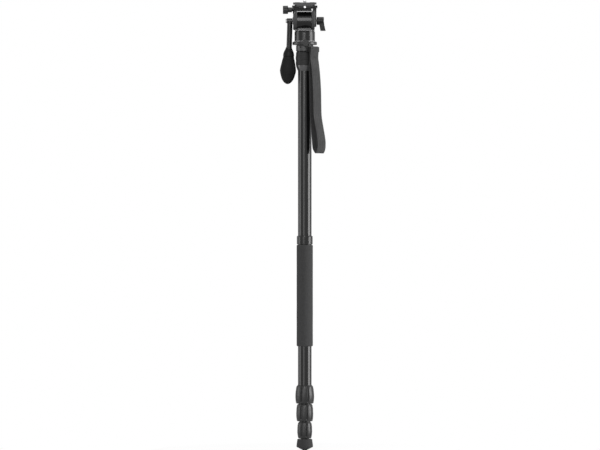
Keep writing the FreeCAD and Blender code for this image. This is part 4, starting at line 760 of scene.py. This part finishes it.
def makePlatePads():
    low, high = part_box("plate_pads")
    inner, edge, columns = plateRibs["inner"] * mm, plateRibs["edge"] * mm, plateRibs["columns"]
    ribs = round((high.y - low.y) / mm / plateRibs["pitch"])
    step = (high.y - low.y) / ribs
    outline = [(high.y, low.z), (low.y, low.z)]
    for k in range(ribs):
        y = low.y + k * step
        outline += [(y + share * step, high.z - plateRibs["depth"] * fall * mm)
                    for share, fall in plateRibs["profile"]]
    points, faces = [], []
    for x0, x1 in ((low.x, -inner), (inner, high.x)):
        faces += cappedFaces(columns, len(outline), len(points))
        for k in range(columns):
            share = k / (columns - 1)
            rise = plateRibs["dome"] * mm * (1 - (2 * share - 1) ** 2)
            rise -= edge if k in (0, columns - 1) else 0
            points += [Vector((x0 + (x1 - x0) * share, y, z + (rise if z > low.z else 0.0)))
                       for y, z in outline]
    piece = makePiece("platePads", points, faces, "padRubber", "plate", sharp=50.0)
    tidyMesh(piece)
    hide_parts("plate_pads")


makePlatePads()
print("fasteners, camera screw and plate strips made")


# felt seals in the running gaps between the drum and the yoke's arms, in mm
drumSeals = {"radius": 17.6, "bore": 5.5, "gap": 0.3, "overlap": 0.02, "edge": 0.05,
             "columns": 72}


def makeDrumSeals():
    drumLow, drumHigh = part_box("drum_caps")
    axle = Vector(joints["head_tilt_turn"]["pos_m"])
    outer, bore, overlap = drumSeals["radius"], drumSeals["bore"], drumSeals["overlap"]
    edge, gap = drumSeals["edge"], drumSeals["gap"] + overlap
    wide = gap + overlap
    profile = [(bore, 0.0), (outer - edge, 0.0), (outer, wide / 2), (outer - edge, wide),
               (bore, wide)]
    points, faces = lathe(profile, evenAngles(drumSeals["columns"]))
    turn = Matrix.Rotation(math.radians(90), 4, "Y")
    for name, x in (("left", drumLow.x / mm - gap), ("right", drumHigh.x / mm - overlap)):
        placed = [Vector((x * mm, axle.y, axle.z)) + turn @ (p * mm) for p in points]
        piece = makePiece("drumSeal." + name, placed, faces, "sealFelt", "head_tilt")
        tidyMesh(piece)


makeDrumSeals()


# thin felt lining in the clamp's channel, under the plate and its keel, in mm
channelFelt = {"keel": 11.75, "reach": 19.6, "rise": 1.2, "gap": 0.3, "sink": 0.02, "inset": 0.4,
               "rows": 40}


def makeChannelFelt():
    low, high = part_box("plate_body")
    yokeLow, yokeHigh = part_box("tilt_yoke")
    keel, reach, rise = channelFelt["keel"], channelFelt["reach"], channelFelt["rise"]
    wall, sink, rows = channelFelt["gap"], channelFelt["sink"], channelFelt["rows"]
    top = low.z / mm + sink
    bottom = low.z / mm - wall - sink
    outline = [(-reach, top + rise), (-reach, bottom + rise), (-keel - wall, bottom + rise),
               (-keel - wall, bottom), (keel + wall, bottom), (keel + wall, bottom + rise),
               (reach, bottom + rise), (reach, top + rise), (keel, top + rise), (keel, top),
               (-keel, top), (-keel, top + rise)]
    y0 = max(low.y, yokeLow.y) / mm + channelFelt["inset"]
    y1 = min(high.y, yokeHigh.y) / mm - channelFelt["inset"]
    points = []
    for k in range(rows):
        y = y0 + (y1 - y0) * k / (rows - 1)
        points += [Vector((x, y, z)) * mm for x, z in outline]
    piece = makePiece("channelFelt", points, cappedFaces(rows, len(outline)), "sealFelt",
                      "head_tilt")
    tidyMesh(piece)


makeChannelFelt()


# pale strip round the foot of the pan neck, a painted highlight on its edge, in mm
neckHighlightStrip = {"inner": 20.4, "outer": 21.25, "bottom": 833.95, "tall": 1.15, "edge": 0.2,
            "columns": 96}


def makeNeckHighlightStrip():
    inner, outer, bottom = neckHighlightStrip["inner"], neckHighlightStrip["outer"], neckHighlightStrip["bottom"]
    top, edge = bottom + neckHighlightStrip["tall"], neckHighlightStrip["edge"]
    profile = [(inner, bottom), (outer - edge, bottom), (outer, bottom + edge),
               (outer, top - edge), (outer - edge, top), (inner, top)]
    points, faces = lathe(profile, evenAngles(neckHighlightStrip["columns"]))
    makePiece("neckHighlightStrip", [p * mm for p in points], faces, "paintedHighlight", "head_pan")


makeNeckHighlightStrip()


# the same painted highlight, a pale strip along the upper edge of the flange's front and back facets, in mm
facetHighlightStrip = {"flangeR": 21.0, "flangeTop": 857.2, "facetDepth": 5.2, "facetDrop": 4.8,
             "wide": 0.8, "proud": 0.06, "sunk": 0.2, "edge": 0.1, "spans": 24}


def makeFacetHighlightStrip():
    depth, drop, radius = facetHighlightStrip["facetDepth"], facetHighlightStrip["facetDrop"], facetHighlightStrip["flangeR"]
    slope = Vector((0, -depth, -drop)).normalized()
    out = Vector((0, -drop, depth)).normalized()
    corner = Vector((0, -(radius - depth), facetHighlightStrip["flangeTop"]))
    wide, proud, edge = facetHighlightStrip["wide"], facetHighlightStrip["proud"], facetHighlightStrip["edge"]
    sunk, rows = facetHighlightStrip["sunk"], facetHighlightStrip["spans"] + 1
    section = [corner + slope * run + out * rise for run, rise in
               ((0.0, -sunk), (0.0, proud / 2), (edge, proud), (wide - edge, proud),
                (wide, proud / 2), (wide, -sunk))]
    for name, side in (("front", 1), ("back", -1)):
        points = []
        for k in range(rows):
            share = 2 * k / facetHighlightStrip["spans"] - 1
            for spot in section:
                reach = math.sqrt(radius ** 2 - spot.y ** 2)
                points.append(Vector((share * reach * side, spot.y * side, spot.z)) * mm)
        piece = makePiece("facetHighlightStrip." + name, points, cappedFaces(rows, len(section)), "paintedHighlight",
                          "head_pan")
        tidyMesh(piece)


makeFacetHighlightStrip()


# pan handle: a flared ferrule and a flattened rubber grip with a sunk, ribbed panel on both sides
handlePieces = {
    # outline is the distance from the pivot along the handle and the half width, in mm
    "handleFerrule": dict(node="handle_ferrule", finish="ferruleBlack", flat=0.76, panel=False,
                          outline=[(53.6, 5.75), (54.0, 6.05), (56.2, 6.6), (60.3, 8.45),
                                   (64.4, 10.2), (66.4, 10.8), (68.5, 11.15), (70.5, 11.35),
                                   (71.7, 11.3), (72.1, 10.9)]),
    "handleGrip": dict(node="handle_grip", finish="gripRubber", flat=0.64, panel=True,
                       outline=[(71.2, 9.8), (72.2, 10.5), (73.0, 11.0), (74.6, 11.25),
                                (76.6, 11.6), (80.2, 12.7), (87.0, 14.0), (94.3, 15.55),
                                (102.3, 16.4), (111.4, 14.45), (119.4, 11.6), (125.2, 7.6),
                                (128.2, 3.4), (129.0, 0.0)]),
}
handleShape = {"lean": 0.42, "columns": 112, "curveSteps": 10, "step": 0.4, "leastStep": 0.03,
               "endStep": 0.25, "startHalf": 4.0, "endHalf": (0.02, 0.01)}
handlePanel = {"top": 78.0, "end": 121.5, "topRound": 5.0, "endRound": 9.0, "wide": 0.76,
               "deep": 0.8, "deepest": 0.5, "edge": 1.0, "rib": 3.1, "ribDepth": 0.22}


def widthAt(table, drop):
    for a, b in zip(table, table[1:]):
        if a[0] <= drop <= b[0]:
            return a[1] + (b[1] - a[1]) * (drop - a[0]) / (b[0] - a[0])
    return 0.0


def handleRows(outline):
    # (drop, half width) down the handle, closer together towards its end
    curve = [tuple(p) for p in splineThrough(outline, handleShape["curveSteps"])]
    drop, last = outline[0][0], outline[-1][0]
    rows = [(drop, handleShape["startHalf"])]
    while drop < last - handleShape["endHalf"][0]:
        rows.append((drop, widthAt(curve, drop)))
        drop += min(handleShape["step"],
                    max(handleShape["leastStep"], (last - drop) * handleShape["endStep"]))
    return rows + [(last, max(handleShape["endHalf"][0], outline[-1][1])),
                   (last, handleShape["endHalf"][1])]


def panelHalf(drop, half):
    top, end = handlePanel["top"], handlePanel["end"]
    if not top < drop < end:
        return 0.0
    rounding = min(1.0, math.sqrt((drop - top) / handlePanel["topRound"]),
                   math.sqrt((end - drop) / handlePanel["endRound"]))
    return half * handlePanel["wide"] * rounding


def makeHandlePiece(name, values):
    pivot = Vector(joints["handle_swing"]["pos_m"])
    low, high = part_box("handle_grip")
    lean = math.atan((pivot.x - (low.x + high.x) / 2) / (pivot.z - (low.z + high.z) / 2))
    turn = Matrix.Rotation(lean + math.radians(handleShape["lean"]), 4, "Y")
    rows, columns = handleRows(values["outline"]), handleShape["columns"]
    points = []
    for drop, half in rows:
        inner = panelHalf(drop, half) if values["panel"] else 0.0
        rib = 1 - handlePanel["ribDepth"] * (1 + math.cos(fullTurn * drop / handlePanel["rib"]))
        for a in evenAngles(columns):
            x, y = half * math.cos(a), half * values["flat"] * math.sin(a)
            sunk = easeIn(inner - abs(x), 0.0, handlePanel["edge"]) * handlePanel["deep"] * rib
            y -= math.copysign(min(abs(y) * handlePanel["deepest"], sunk), y)
            points.append(pivot + turn @ Vector((x * mm, y * mm, -drop * mm)))
    piece = makePiece(name, points, ringFaces(len(rows), columns, False), values["finish"],
                      "handle", sharp=50.0)
    tidyMesh(piece)
    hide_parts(values["node"])


for name, values in handlePieces.items():
    makeHandlePiece(name, values)
print("seals, trim lines and handle grip made")


# finishes of the CAD nodes
nodeFinish = {
    "tube": ["column_tube", "leg_tube_upper", "leg_tube_second", "leg_tube_third",
             "leg_tube_fourth"],
    "conePaintedLight": ["column_top_casting"],
    "glossBlack": ["leg_top_collar", "pan_neck"],
    "yokeBlack": ["tilt_yoke"],
    "jawPaintedShade": ["clamp_jaw"],
    "leverBlack": ["tilt_lock_lever"],
    "satinBlack": ["lock_nut_upper", "lock_nut_middle", "lock_nut_lower"],
    "plateBlack": ["plate_body"],
    "castBlack": ["mounting_platform"],
    "ringBlack": ["pan_base"],
    "drumBlack": ["tilt_housing", "drum_caps"],
    "handleBlack": ["handle_rod"],
    "alloy": ["column_end_ferrule", "lock_ferrule_upper", "lock_ferrule_middle",
              "lock_ferrule_lower", "foot_plug"],
    "steel": ["head_stud", "pan_nut", "coupling_stud", "tilt_axle", "jaw_guide_pins",
              "clamp_screw", "camera_screw", "handle_bolt"],
    "zinc": ["plate_stop_screws"],
    "blackOxide": ["platform_grub_screws", "pan_lock_screw", "tilt_lever_screw"],
    "bracketPaintedShade": ["strap_bracket"],
    "brass": ["axle_bushes", "tilt_lock_insert"],
    "acetal": ["pan_washer", "collet_upper", "collet_middle", "collet_lower", "shim_second",
               "shim_third", "shim_fourth", "drag_cartridge"],
    "knobPlastic": ["pan_lock_knob", "clamp_knob"],
    "lockRubber": ["lock_grip_upper", "lock_grip_middle", "lock_grip_lower"],
    "sleeveRubber": ["column_sleeve"],
    "padRubber": ["plate_pads"],
    "gripRubber": ["handle_ferrule", "handle_grip"],
    "footRubber": ["rubber_foot"],
    "foam": ["foam_grip"],
    "webbing": ["wrist_strap"],
}
for finish, nodes in nodeFinish.items():
    for node in nodes:
        piece = frame["nodes"][node]
        piece.data.materials.clear()
        piece.data.materials.append(materials[finish])
print("finishes given to the carried-over nodes")


# floor, light and camera; lengths in metres, places in the picture in pixels
studio = {
    "floorR": 0.32, "floorSides": 96, "floorColour": 0.94, "floorLift": 0.86, "floorRough": 0.9,
    "world": 0.34, "aimHeight": 0.46, "distance": 9.0, "sensor": 36, "clip": (0.5, 60),
    "pixel": 2.04 * mm, "axisPixel": 304.75, "groundPixel": 450.6, "wide": 600, "tall": 450,
}
lamps = {
    # degrees round from the front towards +X, degrees up, distance, width, height, radiance
    "rightPanel": (77, 3, 2.2, 1.25, 1.3, 10.5),
    "leftPanel": (-86, 3, 2.2, 1.0, 1.3, 3.8),
    "keyPanel": (-2, 26, 3.0, 0.55, 1.9, 9.5),
    "centrePanel": (-16, 0, 3.0, 1.0, 1.6, 2.9),
    "overhead": (0, 86, 2.4, 0.85, 0.85, 9.0),
}


def seenRays(tree):
    # 1 where the background shows: to the camera, in reflections and through clear pieces
    rays = addNode(tree, "LightPath").outputs
    mirrored = mathNode(tree, "MAXIMUM", rays["Is Glossy Ray"], rays["Is Transmission Ray"])
    return mathNode(tree, "MAXIMUM", rays["Is Camera Ray"], mirrored)


def makeFloor():
    # a small round one, which hides little of a leg that is slid out below it
    radius, lift = studio["floorR"], studio["floorLift"]
    points = [(radius * math.cos(a), radius * math.sin(a), 0)
              for a in evenAngles(studio["floorSides"])]
    mesh = bpy.data.meshes.new("floor")
    mesh.from_pydata(points, [], [tuple(range(len(points)))])
    floor = bpy.data.objects.new("floor", mesh)
    bpy.context.scene.collection.objects.link(floor)
    material, tree, shader = newMaterial("paleFloor")
    seen = seenRays(tree)
    feed(tree, shader, {
        "Base Color": toned(tree, grey(studio["floorColour"]),
                            remap(tree, seen, 0.0, 1.0, 1.0, 1 - lift)),
        "Roughness": studio["floorRough"], "Specular IOR Level": 0.0,
        "Emission Color": (1, 1, 1, 1),
        "Emission Strength": remap(tree, seen, 0.0, 1.0, 0.0, lift)})
    mesh.materials.append(material)


def makeWorld():
    world = bpy.data.worlds.new("studio")
    bpy.context.scene.world = world
    world.use_nodes = True
    tree = world.node_tree
    feed(tree, tree.nodes["Background"], {
        "Color": (1, 1, 1, 1),
        "Strength": remap(tree, seenRays(tree), 0.0, 1.0, studio["world"], 1.0)})


def makeLamps():
    aim = Vector((0, 0, studio["aimHeight"]))
    for name, (azimuth, elevation, distance, width, height, radiance) in lamps.items():
        a, e = math.radians(azimuth), math.radians(elevation)
        data = bpy.data.lights.new(name, "AREA")
        data.shape = "RECTANGLE"
        data.size, data.size_y = width, height
        data.energy = radiance * math.pi * width * height
        lamp = bpy.data.objects.new(name, data)
        bpy.context.scene.collection.objects.link(lamp)
        away = Vector((math.sin(a) * math.cos(e), -math.cos(a) * math.cos(e), math.sin(e)))
        lamp.location = aim + away * distance
        lamp.rotation_mode = "QUATERNION"
        lamp.rotation_quaternion = away.to_track_quat("Z", "Y")


def makeCamera():
    data = bpy.data.cameras.new("camera")
    camera = bpy.data.objects.new("camera", data)
    bpy.context.scene.collection.objects.link(camera)
    pixel = studio["pixel"]
    camera.location = ((studio["wide"] / 2 - studio["axisPixel"]) * pixel, -studio["distance"],
                       (studio["groundPixel"] - studio["tall"] / 2) * pixel)
    camera.rotation_euler = (math.pi / 2, 0, 0)
    data.sensor_width = studio["sensor"]
    data.lens = studio["sensor"] * studio["distance"] / (studio["wide"] * pixel)
    data.clip_start, data.clip_end = studio["clip"]
    bpy.context.scene.camera = camera


makeFloor()
makeWorld()
makeLamps()
makeCamera()
bpy.context.scene.view_settings.view_transform = "Standard"
print("floor, lamps and camera placed")
